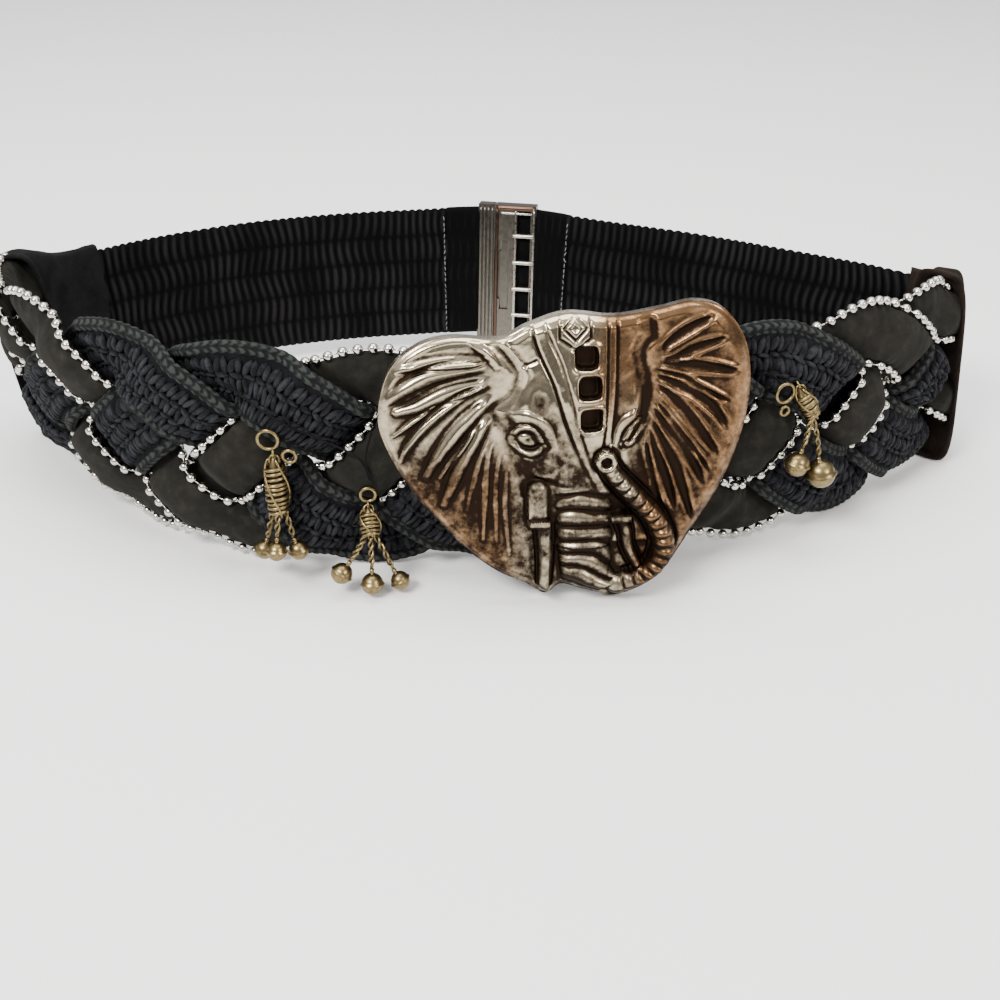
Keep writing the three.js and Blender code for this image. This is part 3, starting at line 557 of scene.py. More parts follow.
# Ball chains: hollow balls strung on short wires, turned as one line
def addBallChain(strandName, edgeName, side):
    strand = strands[strandName]
    along, _ = strandArc(strand, 3000)
    place = side * chain["edge"]
    path = strandPoint(strand, along, place, chain["forward"])
    arc = np.r_[0, np.cumsum(np.linalg.norm(np.diff(path, axis=0), axis=1))]
    radius, wire = chain["ball"] / 2, chain["wire"] / 2
    limit = math.acos(wire / radius)
    turn = np.linspace(-limit, limit, chain["rings"])
    count = int((arc[-1] - chain["ball"]) / chain["pitch"]) + 1
    start = (arc[-1] - (count - 1) * chain["pitch"]) / 2
    at = (start + np.arange(count)[:, None] * chain["pitch"] + radius * np.sin(turn)[None]).ravel()
    size = np.tile(radius * np.cos(turn), count)
    at, size = np.r_[0.05, at, arc[-1] - 0.05], np.r_[wire, size, wire]
    line = np.stack([np.interp(at, arc, path[:, k]) for k in range(3)], -1)
    name = f"ball_chain_{strandName[-1]}_{edgeName}"
    part = wirePart(line, size, chain["sides"])
    addPiece(name + "_balls", part, chainFinish, [name])


for strandName in ("suede_strand_1", "suede_strand_2"):
    for edgeName, side in (("upper", 1), ("lower", -1)):
        addBallChain(strandName, edgeName, side)
print("ball chains made")


# Crochet strips: rows of upright stitches with loops between them, on a dark core that is the strip's body
# and painted shade in the gaps, and a knitted tube along each edge
crochet = {
    "width": 23.6, "thickness": 6.2, "cord": 4.1, "coreWidth": 22.8, "coreThick": 3.4,
    "rows": (-5.4, 0, 5.4), "station": 3.3, "barLength": 5.4, "barHalf": 0.82, "barDeep": 0.95,
    "loopLength": 3.6, "loopHalf": 0.72, "slant": 0.3, "puff": 0.55, "puffPitch": 4.6,
}
knit = {"columns": 5, "sides": 25, "step": 0.46, "stitch": 2.5, "relief": 0.38}
lobeRings, lobeSides = 4, 6


def lobesPart(strand, arcOf, alongOf, lobes, face):
    # lobes: arc, across of the middle, half length, direction, half width, half depth, out
    t = np.linspace(0, 1, lobeRings + 2)[1:-1]
    swell = np.sin(np.pi * t) ** 0.45
    bow = 0.35 * np.sin(np.pi * t)
    angle = 2 * np.pi * np.arange(lobeSides) / lobeSides
    lengthwise = np.concatenate([np.repeat(2 * t - 1, lobeSides), [-1, 1]])
    sideways = np.concatenate([(swell[:, None] * np.cos(angle)).ravel(), [0, 0]])
    deep = np.concatenate([(swell[:, None] * np.sin(angle)).ravel(), [0, 0]])
    lift = np.concatenate([np.repeat(bow, lobeSides), [0, 0]])
    arc, across, half, turn, wide, thick, out = (lobes[:, k][:, None] for k in range(7))
    along0 = np.interp(arc, arcOf, alongOf)
    shift = np.cos(turn) * lengthwise * half - np.sin(turn) * sideways * wide
    cross = np.sin(turn) * lengthwise * half + np.cos(turn) * sideways * wide
    length = np.hypot(1, strandSlope(strand, along0))
    # every few stitches stand out together as a puff
    row = np.round((across + cross) / crochet["rows"][2])
    puff = np.sin(np.pi * (arc + shift) / crochet["puffPitch"] + row * np.pi / 2) ** 2
    lifted = face * (out + deep * thick + lift + crochet["puff"] * (puff - 0.6))
    points = strandPoint(strand, along0 + shift / length, across + cross, lifted)
    count, each = points.shape[:2]
    ring = np.arange(lobeRings * lobeSides).reshape(lobeRings, lobeSides)
    after = np.roll(ring, -1, 1)
    quads = np.stack([ring[:-1], after[:-1], after[1:], ring[1:]], -1).reshape(-1, 4)
    tip = lobeRings * lobeSides
    tris = np.vstack([
        np.stack([np.full(lobeSides, tip), after[0], ring[0]], -1),
        np.stack([np.full(lobeSides, tip + 1), ring[-1], after[-1]], -1),
    ])
    start = (np.arange(count) * each)[:, None, None]
    allQuads = (quads[None] + start).reshape(-1, 4)
    allTris = (tris[None] + start).reshape(-1, 3)
    # painted highlight: the outer side of each stitch and each puff is painted paler, the inner side darker as painted
    # shade
    paintedCrestLight = ((0.5 + 0.5 * deep) * (0.55 + 0.45 * puff)).ravel()
    return outward((points.reshape(-1, 3), allQuads, allTris)), paintedCrestLight


def crochetLobes(length, draw):
    rows = []
    stations = np.arange(1.6, length - 1.6, crochet["station"])
    topOut = crochet["thickness"] / 2 - crochet["barDeep"] - 0.2
    for r, across in enumerate(crochet["rows"]):
        lean = crochet["slant"] * (1 if r % 2 == 0 else -1)
        for at in stations + crochet["station"] * 0.5 * (r % 2):
            for pair in (-1, 1):
                jitter = draw.normal(0, 1, 4)
                rows.append([
                    at + pair * 0.78 + 0.08 * jitter[0], across + 0.1 * jitter[1],
                    crochet["barLength"] / 2 * (1 + 0.05 * jitter[2]),
                    np.pi / 2 - lean * 0.5 + pair * 0.14, crochet["barHalf"], crochet["barDeep"],
                    topOut + 0.06 * jitter[3],
                ])
    between = [(a + b) / 2 for a, b in zip(crochet["rows"][:-1], crochet["rows"][1:])]
    for r, across in enumerate(between):
        for at in stations:
            jitter = draw.normal(0, 1, 3)
            rows.append([
                at + 0.1 * jitter[0], across + 0.08 * jitter[1], crochet["loopLength"] / 2,
                0.28 * (1 if r % 2 == 0 else -1), crochet["loopHalf"], crochet["loopHalf"] * 1.15,
                topOut + 0.22 + 0.05 * jitter[2],
            ])
    rows = np.array(rows)
    return rows[(rows[:, 0] > 1.6) & (rows[:, 0] < length - 1.6)]


def addCrochetStrip(strandName):
    strand = strands[strandName]
    along, arc = strandArc(strand, 1400)
    number = strandName[-1]
    angle = 2 * np.pi * (np.arange(16) + 0.5) / 16
    x = np.sign(np.cos(angle)) * np.abs(np.cos(angle)) ** 0.7 * crochet["coreWidth"] / 2
    y = np.sign(np.sin(angle)) * np.abs(np.sin(angle)) ** 0.7 * crochet["coreThick"] / 2
    coreAlong = np.interp(np.linspace(0, arc[-1], 260), arc, along)
    core = tubePart(strandPoint(strand, coreAlong[:, None], x[None], y[None]))
    draw = np.random.default_rng(10 + int(number))
    made = [lobesPart(strand, arc, along, crochetLobes(arc[-1], draw), face) for face in (1, -1)]
    values = {"paintedCrestLight": np.concatenate([paintedCrestLight for _, paintedCrestLight in made])}
    part = joinParts([lobes for lobes, _ in made])
    addPiece("crochet_core_" + number, core, coreAndShadeFinish)
    addPiece("crochet_strip_" + number, part, crochetFinish, [strandName], values=values)
    for edgeName, side in (("upper", 1), ("lower", -1)):
        place = side * (crochet["width"] - crochet["cord"]) / 2
        path = resample(strandPoint(strand, along, place, 0.0), knit["step"])
        turn = np.arange(knit["sides"]) / knit["sides"] * knit["columns"]
        column = turn - np.floor(turn) - 0.5
        far = np.arange(len(path)) * knit["step"] / knit["stitch"]
        stitch = np.abs(np.cos(np.pi * (far[:, None] + np.abs(column)[None] * 1.1))) ** 0.8
        relief = stitch * (0.35 + 0.65 * np.abs(np.cos(np.pi * column))[None] ** 0.7)
        size = crochet["cord"] / 2 - knit["relief"] * (1 - relief)
        part = wirePart(path, size, knit["sides"])
        # painted highlight: the raised stitches of the cord are painted paler, the dips between them darker as painted
        # shade
        values = {"paintedCrestLight": np.r_[relief.ravel(), 0.5, 0.5]}
        addPiece(f"knit_cord_{number}_{edgeName}", part, cordFinish, values=values)


for strandName in ("crochet_strand_1", "crochet_strand_2"):
    addCrochetStrip(strandName)
print("crochet strips made")


# End caps: cloth sleeves, gathered over the strands and sewn flat to the elastic
sleeve = {"lip": 3.2, "lipThick": 18.4, "wall": 1.1, "rings": 34, "sides": 88, "full": 0.42}


def addCap(capName, braidEnd, away, tall, flare, creases, depth, seed, finish):
    share = np.linspace(1, 0, sleeve["rings"])
    height, thick = capSection(share, tall)
    height = height + flare * (1 - smooth(share, 0, 0.6))
    tall = tall + flare
    rows = list(zip(braidEnd + away * share * cap["length"], thick / 2, np.zeros_like(share), height))
    lip = braidEnd - away * sleeve["lip"]
    rows += [
        (braidEnd - away * sleeve["lip"] * 0.4, cap["thick"] / 2 + 1.5, 0.0, tall + 0.6),
        (braidEnd - away * sleeve["lip"] * 0.85, sleeve["lipThick"] / 2, 0.0, tall + 0.9),
        (lip, sleeve["lipThick"] / 2 - sleeve["wall"] * 0.5, sleeve["wall"] * 0.5, tall + 0.3),
        (lip + away * 0.5, sleeve["lipThick"] / 2 - sleeve["wall"], sleeve["wall"], tall - 0.6),
        (braidEnd - away * 0.4, cap["thick"] / 2 - 0.4, sleeve["wall"], tall - 1.4),
    ]
    turn = 2 * np.pi * (np.arange(sleeve["sides"]) + 0.5) / sleeve["sides"]
    cx = np.sign(np.cos(turn)) * np.abs(np.cos(turn)) ** sleeve["full"]
    cy = np.sign(np.sin(turn)) * np.abs(np.sin(turn)) ** sleeve["full"]
    made = []
    for k, (along, half, low, high) in enumerate(rows):
        middle, reach = (low + high) / 2, (high - low) / 2
        up = middle + cy * reach
        far = (along - braidEnd) * away
        fade = smooth(far, -3, 3) * (1 - smooth(far, cap["length"] - 5, cap["length"]))
        wave = np.cos(2 * np.pi * creases * far / cap["length"] + 1.3 * np.sin(up / 11 + seed))
        fold = depth * fade * (0.6 * wave + 0.4 * softNoise(up, far, 14, seed))
        sag = 0.25 * depth * fade * softNoise(up, far * 3, 20, seed + 5)
        made.append(bandPoint(along, cx * (half + fold - depth * fade * 0.8), np.maximum(up + sag * cy, 0)))
    addPiece(capName + "_sleeve", tubePart(np.array(made)), finish, [capName])


addCap("end_cap_left", braid["left"], -1, cap["leftHeight"], 6, 2.2, 0.7, 31, capFinish)
addCap("end_cap_right", braid["right"], 1, cap["rightHeight"], 1, 4.3, 0.9, 37, brownFinish)
print("end caps made")


# Elastic: cloth shirred over five rows of elastic, with doubled hems at the clasp
clasp = {
    "height": 53, "foot": 2.5, "plate": 6, "frame": 15, "thick": 4.5,
    "rung": 1.6, "rungs": 5, "share": 0.453, "rim": 2, "ladder": 5,
}
shirring = {"rows": 5, "perRib": 8, "levels": 36, "thin": 0.4, "full": 1.5, "ruffle": 0.7}
claspPlace = clasp["share"] * loopLength
claspHalf = (clasp["plate"] + braid["gap"] + clasp["frame"]) / 2


def addElastic(elasticName, capEnd, claspEnd, seed):
    span = abs(claspEnd - capEnd)
    away = math.copysign(1, claspEnd - capEnd)
    ribs = round(span / elastic["rib"])
    far = np.linspace(0, span, ribs * shirring["perRib"] + 1)
    level = np.linspace(0, 1, shirring["levels"])
    low, tall = elastic["foot"], elastic["height"]
    wander = 0.35 * softNoise(far[:, None] * 0.3, level[None] * 40, 18, seed)
    rib = np.abs(np.sin(np.pi * (far[:, None] * ribs / span + wander))) ** 0.75
    line = np.abs(np.sin(np.pi * shirring["rows"] * level))[None] ** 0.5
    sewn = 0.3 + 0.7 * line
    hem = smooth(far, span - elastic["hem"] - 1, span - elastic["hem"] + 1)[:, None]
    half = shirring["thin"] + (shirring["full"] - shirring["thin"]) * rib * sewn
    half = half * (1 - hem) + (elastic["hemThick"] / 2 - 0.3 + 0.28 * rib * sewn) * hem
    rounding = np.sqrt(1 - (2 * level - 1) ** 10)[None]
    half = half * (0.35 + 0.65 * rounding)
    ruffle = shirring["ruffle"] * (1 - rib[:, :1]) * (1 - hem)
    up = low + ruffle * 0.5 + level[None] * (tall - ruffle * 1.5)
    place = (capEnd + away * far)[:, None]
    front = bandPoint(place, half, up)
    back = bandPoint(place, -half, up)
    rows = np.concatenate([front, back[:, ::-1]], 1)
    # painted highlight: the rib crests are painted paler, less so on the hem
    paintedCrestLight = (rib**3 * (0.35 + 0.65 * line) * (1 - 0.6 * hem)) * (0.75 + 0.25 * softNoise(far[:, None], level[None] * 40, 30, seed + 3))
    paintedCrestLight = np.clip(np.concatenate([paintedCrestLight, paintedCrestLight[:, ::-1]], 1), 0, 1)
    values = {"paintedCrestLight": np.r_[paintedCrestLight.ravel(), 0, 0]}
    part = tubePart(rows)
    addPiece(elasticName + "_shirred", part, elasticFinish, [elasticName], values=values)


def addHemStitches(name, place, seed):
    # a line of bare thread stitches up the hem, on both faces
    draw = np.random.default_rng(seed)
    parts = []
    ups = np.arange(elastic["foot"] + 2.5, elastic["foot"] + elastic["height"] - 2, 2.1)
    for face in (-1, 1):
        for up in ups:
            lean, lift = draw.normal(0, 0.12, 2)
            out = face * (elastic["hemThick"] / 2 + 0.12)
            t = np.linspace(0, 1, 6)
            path = bandPoint(
                place + lean * (2 * t - 1), out + face * 0.22 * np.sin(np.pi * t), up + lift + 1.5 * (t - 0.5)
            )
            parts.append(wirePart(path, 0.2 * np.sin(np.pi * np.linspace(0.15, 0.85, 6)), 6))
    addPiece(name, joinParts(parts), stitchFinish)


leftStart = loopLength + braid["left"] - cap["length"] - braid["gap"]
rightStart = braid["right"] + cap["length"] + braid["gap"]
leftEnd = claspPlace + claspHalf + 2 * braid["gap"]
rightEnd = claspPlace - claspHalf - 2 * braid["gap"]
addElastic("elastic_left", leftStart + 1, leftEnd - 2, 41)
addElastic("elastic_right", rightStart - 1, rightEnd + 2, 43)
addHemStitches("hem_stitches_left", leftEnd + elastic["hem"] - 0.8, 47)
addHemStitches("hem_stitches_right", rightEnd - elastic["hem"] + 0.8, 53)
print("elastic made")


# Clasp: the cast plate and frame stay as packed, with rounded edges; ridges, ladder rungs and
# the hinge wire are added on their faces
claspMiddle = bandPoint(claspPlace, 0, 0)
claspAcross = bandPoint(claspPlace - 1, 0, 0) - bandPoint(claspPlace + 1, 0, 0)
claspAcross /= np.linalg.norm(claspAcross)
claspUpwards = bandPoint(claspPlace, 0, clasp["height"]) - claspMiddle
claspUpwards /= np.linalg.norm(claspUpwards)
claspFacing = np.cross(claspAcross, claspUpwards)
claspOrigin = bandPoint(claspPlace + (clasp["frame"] - clasp["plate"]) / 2, 0, clasp["foot"])


def onClasp(x, y, z):
    x, y, z = np.broadcast_arrays(*(np.asarray(v, float) for v in (x, y, z)))
    return claspOrigin + x[..., None] * claspAcross + y[..., None] * claspUpwards + z[..., None] * claspFacing


def claspBar(x0, y0, x1, y1, z, radius, sides=10):
    t = np.r_[0, 0.02, np.linspace(0.05, 0.95, 6), 0.98, 1]
    size = radius * np.r_[0.5, 0.85, np.ones(6), 0.85, 0.5]
    return wirePart(onClasp(x0 + (x1 - x0) * t, y0 + (y1 - y0) * t, z), size, sides)


def addClasp():
    parts = []
    half = clasp["thick"] / 2
    for face in (-1, 1):
        for x in np.linspace(-clasp["plate"] + 0.9, -0.9, 4):
            parts.append(claspBar(x, 1.2, x, clasp["height"] - 1.2, face * half, 0.62))
    addPiece("clasp_ridges", joinParts(parts), claspFinish)
    parts, bars = [], []
    right = braid["gap"] + clasp["frame"]
    left = right - clasp["rim"] - clasp["ladder"]
    window = (clasp["height"] - 2 * clasp["rim"] - (clasp["rungs"] - 1) * clasp["rung"]) / clasp["rungs"]
    for face in (-1, 1):
        z = face * (half + 0.1)
        for i in range(clasp["rungs"] + 1):
            y = clasp["rim"] + i * (window + clasp["rung"]) - clasp["rung"] / 2
            y = min(max(y, 1.0), clasp["height"] - 1.0)
            parts.append(claspBar(left - 1.6, y, right - 0.6, y, z, 0.75))
        parts.append(claspBar(left - 0.5, 1.5, left - 0.5, clasp["height"] - 1.5, z, 0.6))
        parts.append(claspBar(right - 0.8, 1.5, right - 0.8, clasp["height"] - 1.5, z, 0.55))
        parts.append(claspBar(2.2, clasp["height"] - 2.9, right - 1.5, clasp["height"] - 2.9, z, 0.5))
        bars.append(claspBar(0.9, clasp["height"] - 1, right - 0.8, clasp["height"] - 1, z, 0.95))
        bars.append(claspBar(0.9, 1, 0.9, clasp["height"] - 1.5, z, 0.6))
    turns = np.linspace(0, 2 * np.pi * 5, 90)
    coil = onClasp(
        left - 0.5 + 1.25 * np.cos(turns), clasp["height"] - 11 + 6 * turns / turns[-1], 1.25 * np.sin(turns) - half
    )
    parts.append(wirePart(coil, 0.36, 6))
    addPiece("clasp_ladder", joinParts(parts), brightFinish)
    addPiece("clasp_bars", joinParts(bars), brownBarFinish)


def addClaspTab():
    # the doubled cloth end that folds back behind the ladder
    right = braid["gap"] + clasp["frame"]
    columns, levels = 24, 60
    x = np.linspace(right - clasp["rim"] - clasp["ladder"] - 0.4, right + 0.4, columns)
    y = np.linspace(1.4, clasp["height"] - 1.4, levels)
    wave = 0.12 * softNoise(x[:, None] * 2, y[None], 6, 61)
    front = onClasp(x[:, None], y[None], -0.55 + wave)
    back = onClasp(x[:, None], y[None], 0.55 + wave)
    rows = np.concatenate([front, back[:, ::-1]], 1)
    addPiece("clasp_cloth_tab", tubePart(rows), tabFinish)


addClasp()
addClaspTab()
for name in ("clasp_plate", "clasp_frame"):
    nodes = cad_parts
    nodes[name].data.materials.clear()
    nodes[name].data.materials.append(claspFinish)
    bevel = nodes[name].modifiers.new("rounded edges", "BEVEL")
    bevel.width, bevel.segments, bevel.limit_method = 0.35 * mm, 2, "ANGLE"
print("clasp made")

# Medallion: a cast elephant head, hollow at the back, worked on a fine even grid
cast = {
    "width": 96, "height": 81, "wall": 2.2, "rim": 2.6, "relief": 7, "lean": 8.5, "turn": 5,
    "foot": 0.8, "clear": 6, "along": -3.6, "seat": 0.6, "post": 7, "grid": 270,
}
castOutline = [
    (-0.5, 0.16), (-0.47, 0.3), (-0.4, 0.38), (-0.31, 0.41), (-0.18, 0.4), (-0.1, 0.44), (0, 0.475),
    (0.13, 0.46), (0.25, 0.48), (0.34, 0.5), (0.42, 0.47), (0.48, 0.37), (0.5, 0.24), (0.49, 0.1),
    (0.46, -0.03), (0.42, -0.14), (0.36, -0.26), (0.3, -0.38), (0.25, -0.45), (0.15, -0.5),
    (0.06, -0.475), (-0.01, -0.45), (-0.055, -0.48), (-0.11, -0.44), (-0.19, -0.39), (-0.27, -0.31),
    (-0.35, -0.2), (-0.42, -0.09), (-0.48, 0.05),
]
castDomes = [
    (0.04, 0.16, 0.19, 0.34, 0.55), (0.04, -0.1, 0.16, 0.26, 0.4), (-0.09, 0.17, 0.07, 0.12, 0.2),
    (0.18, 0.16, 0.06, 0.12, 0.2), (-0.1, 0.02, 0.045, 0.045, 0.12), (0.19, 0.04, 0.04, 0.045, 0.12),
]
castScale = np.array([cast["width"], cast["height"]])


def castDistance(x, y, path, perSpan=8):
    # distance to a smooth line given in shares, how far along it, and which side
    line = splineThrough(np.array(path) * castScale, perSpan, False)
    arc = np.r_[0, np.cumsum(np.linalg.norm(np.diff(line, axis=0), axis=1))]
    best = np.full(x.shape, 1e9)
    far = np.zeros(x.shape)
    hand = np.zeros(x.shape)
    for k in range(len(line) - 1):
        ax, ay = line[k]
        bx, by = line[k + 1] - line[k]
        share = np.clip(((x - ax) * bx + (y - ay) * by) / (bx * bx + by * by), 0, 1)
        dx, dy = x - ax - share * bx, y - ay - share * by
        apart = np.hypot(dx, dy)
        near = apart < best
        best = np.where(near, apart, best)
        far = np.where(near, arc[k] + share * (arc[k + 1] - arc[k]), far)
        hand = np.where(near, np.sign(bx * dy - by * dx), hand)
    return best, far / arc[-1], hand, arc[-1]


def roundTop(share):
    return np.sqrt(np.clip(1 - share * share, 0, 1))


leftEarRibs = [
    # path, half width in mm, rise in mm
    ([(-0.20, 0.335), (-0.29, 0.335), (-0.37, 0.33), (-0.45, 0.31)], 1.3, 1.0),
    ([(-0.19, 0.305), (-0.24, 0.315), (-0.335, 0.3), (-0.415, 0.262), (-0.485, 0.205)], 1.9, 1.5),
    ([(-0.19, 0.27), (-0.24, 0.255), (-0.315, 0.233), (-0.39, 0.196), (-0.45, 0.175)], 1.9, 1.4),
    ([(-0.33, 0.2), (-0.397, 0.151), (-0.462, 0.096)], 0.8, 0.8),
    ([(-0.20, 0.25), (-0.273, 0.22), (-0.367, 0.137), (-0.42, 0.068), (-0.445, 0.012)], 1.2, 1.2),
    ([(-0.19, 0.225), (-0.22, 0.19), (-0.29, 0.107), (-0.343, 0.025), (-0.375, -0.04)], 1.9, 1.6),
    ([(-0.24, 0.13), (-0.265, 0.079), (-0.34, -0.05)], 0.8, 0.8),
    ([(-0.2, 0.17), (-0.228, 0.11), (-0.276, 0.008), (-0.303, -0.064), (-0.33, -0.14)], 1.8, 1.5),
    ([(-0.205, 0.09), (-0.24, -0.03), (-0.27, -0.165)], 0.8, 0.7),
    ([(-0.19, 0.08), (-0.213, 0.0), (-0.226, -0.27)], 0.9, 0.8),
    ([(-0.175, 0.04), (-0.19, -0.08), (-0.19, -0.28)], 0.7, 0.5),
    ([(-0.16, -0.02), (-0.165, -0.16), (-0.155, -0.33)], 0.7, 0.5),
]
rightEarGrooves = [
    ([(0.255, 0.34), (0.271, 0.372), (0.33, 0.42), (0.393, 0.456)], 1.3, 1.2),
    ([(0.25, 0.315), (0.294, 0.322), (0.345, 0.352), (0.43, 0.384)], 1.2, 1.2),
    ([(0.242, 0.306), (0.3, 0.298), (0.37, 0.288), (0.469, 0.269)], 1.4, 1.5),
    ([(0.235, 0.285), (0.3, 0.262), (0.37, 0.215), (0.452, 0.165)], 0.8, 0.8),
    ([(0.235, 0.262), (0.28, 0.243), (0.35, 0.2), (0.405, 0.14), (0.443, 0.073)], 1.4, 1.3),
    ([(0.24, 0.235), (0.276, 0.197), (0.33, 0.13), (0.422, -0.017)], 1.3, 1.3),
    ([(0.235, 0.19), (0.28, 0.12), (0.345, 0.02), (0.4, -0.075)], 0.8, 0.8),
    ([(0.232, 0.165), (0.257, 0.118), (0.324, 0.022), (0.382, -0.116)], 1.3, 1.2),
    ([(0.228, 0.13), (0.262, 0.04), (0.305, -0.058), (0.354, -0.25)], 1.2, 1.2),
    ([(0.225, 0.1), (0.242, 0.03), (0.267, -0.056), (0.304, -0.2)], 1.1, 1.1),
    ([(0.215, 0.06), (0.225, -0.02), (0.24, -0.1), (0.27, -0.2)], 0.8, 0.8),
]
headPaths = {
    "leftEdge": [(-0.24, 0.43), (-0.19, 0.377), (-0.135, 0.285), (-0.15, 0.22), (-0.2, 0.17), (-0.168, 0.1),
                 (-0.15, 0.01), (-0.117, -0.09), (-0.1, -0.22), (-0.09, -0.43)],
    "leftFold": [(-0.275, 0.44), (-0.242, 0.391), (-0.2, 0.343), (-0.17, 0.285)],
    "leftFoldInner": [(-0.2, 0.43), (-0.16, 0.37), (-0.115, 0.29), (-0.13, 0.23)],
    "rightEdge": [(0.213, 0.49), (0.235, 0.4), (0.208, 0.34), (0.226, 0.22), (0.212, 0.12), (0.2, 0.02),
                  (0.225, -0.08)],
    "borderA": [(-0.105, 0.49), (-0.077, 0.366), (-0.036, 0.252), (-0.006, 0.13), (0.03, 0.02), (0.074, -0.085)],
    "borderB": [(-0.073, 0.49), (-0.045, 0.4), (-0.016, 0.32), (0.006, 0.225), (0.03, 0.11), (0.062, -0.01)],
    "borderC": [(0.111, 0.49), (0.108, 0.354), (0.106, 0.25), (0.1, 0.1), (0.09, 0.02)],
    "borderD": [(0.134, 0.49), (0.132, 0.29), (0.127, 0.17), (0.118, 0.06)],
    "trunk": [(0.05, 0.0), (0.045, -0.12), (0.05, -0.25), (0.06, -0.4), (0.09, -0.47)],
    "curl": [(0.1, 0.006), (0.128, -0.052), (0.17, -0.112), (0.213, -0.167), (0.25, -0.225), (0.27, -0.3),
             (0.258, -0.375), (0.215, -0.43), (0.15, -0.45)],
    "leftSleeve": [(-0.078, -0.1), (-0.078, -0.2)],
    "leftTusk": [(-0.062, -0.21), (-0.057, -0.33), (-0.06, -0.45)],
    "rightTusk": [(0.15, -0.2), (0.166, -0.26), (0.172, -0.31), (0.198, -0.379), (0.232, -0.435)],
    "leftBrow": [(-0.155, 0.125), (-0.11, 0.15), (-0.06, 0.11), (-0.045, 0.04)],
    "leftUpperLid": [(-0.148, 0.075), (-0.125, 0.112), (-0.092, 0.108), (-0.062, 0.05)],
    "leftLowerLid": [(-0.148, 0.07), (-0.125, 0.035), (-0.09, 0.027), (-0.062, 0.047)],
    "rightBrow": [(0.125, 0.01), (0.135, 0.07), (0.16, 0.125), (0.205, 0.155)],
    "rightUpperLid": [(0.15, 0.05), (0.168, 0.095), (0.19, 0.118), (0.215, 0.125)],
    "rightLowerLid": [(0.152, 0.045), (0.178, 0.048), (0.2, 0.08), (0.213, 0.12)],
    "templeLine": [(-0.125, 0.312), (-0.1, 0.318), (-0.07, 0.335)],
    "cheekFold": [(-0.13, -0.02), (-0.1, -0.06), (-0.04, -0.075), (0.02, -0.085)],
}
trunkRibs = {"top": -0.085, "bottom": -0.46, "count": 7, "depth": 1.5}
castRecesses = [(0.05, 0.338), (0.058, 0.244), (0.062, 0.141)]
recess = {"half": 3.15, "deep": 3.0}
motif = {"x": 0.021, "y": 0.43, "halfX": 0.05, "halfY": 0.06}


def castOutlineReach(angle):
    line = splineThrough(np.array(castOutline) * castScale, 24, True)
    at = np.unwrap(np.arctan2(line[:, 1], line[:, 0]))
    far = np.hypot(line[:, 0], line[:, 1])
    if at[-1] < at[0]:
        at, far = at[::-1], far[::-1]
    at = np.r_[at, at[0] + 2 * np.pi]
    far = np.r_[far, far[0]]
    return np.interp(np.mod(angle - at[0], 2 * np.pi) + at[0], at, far)


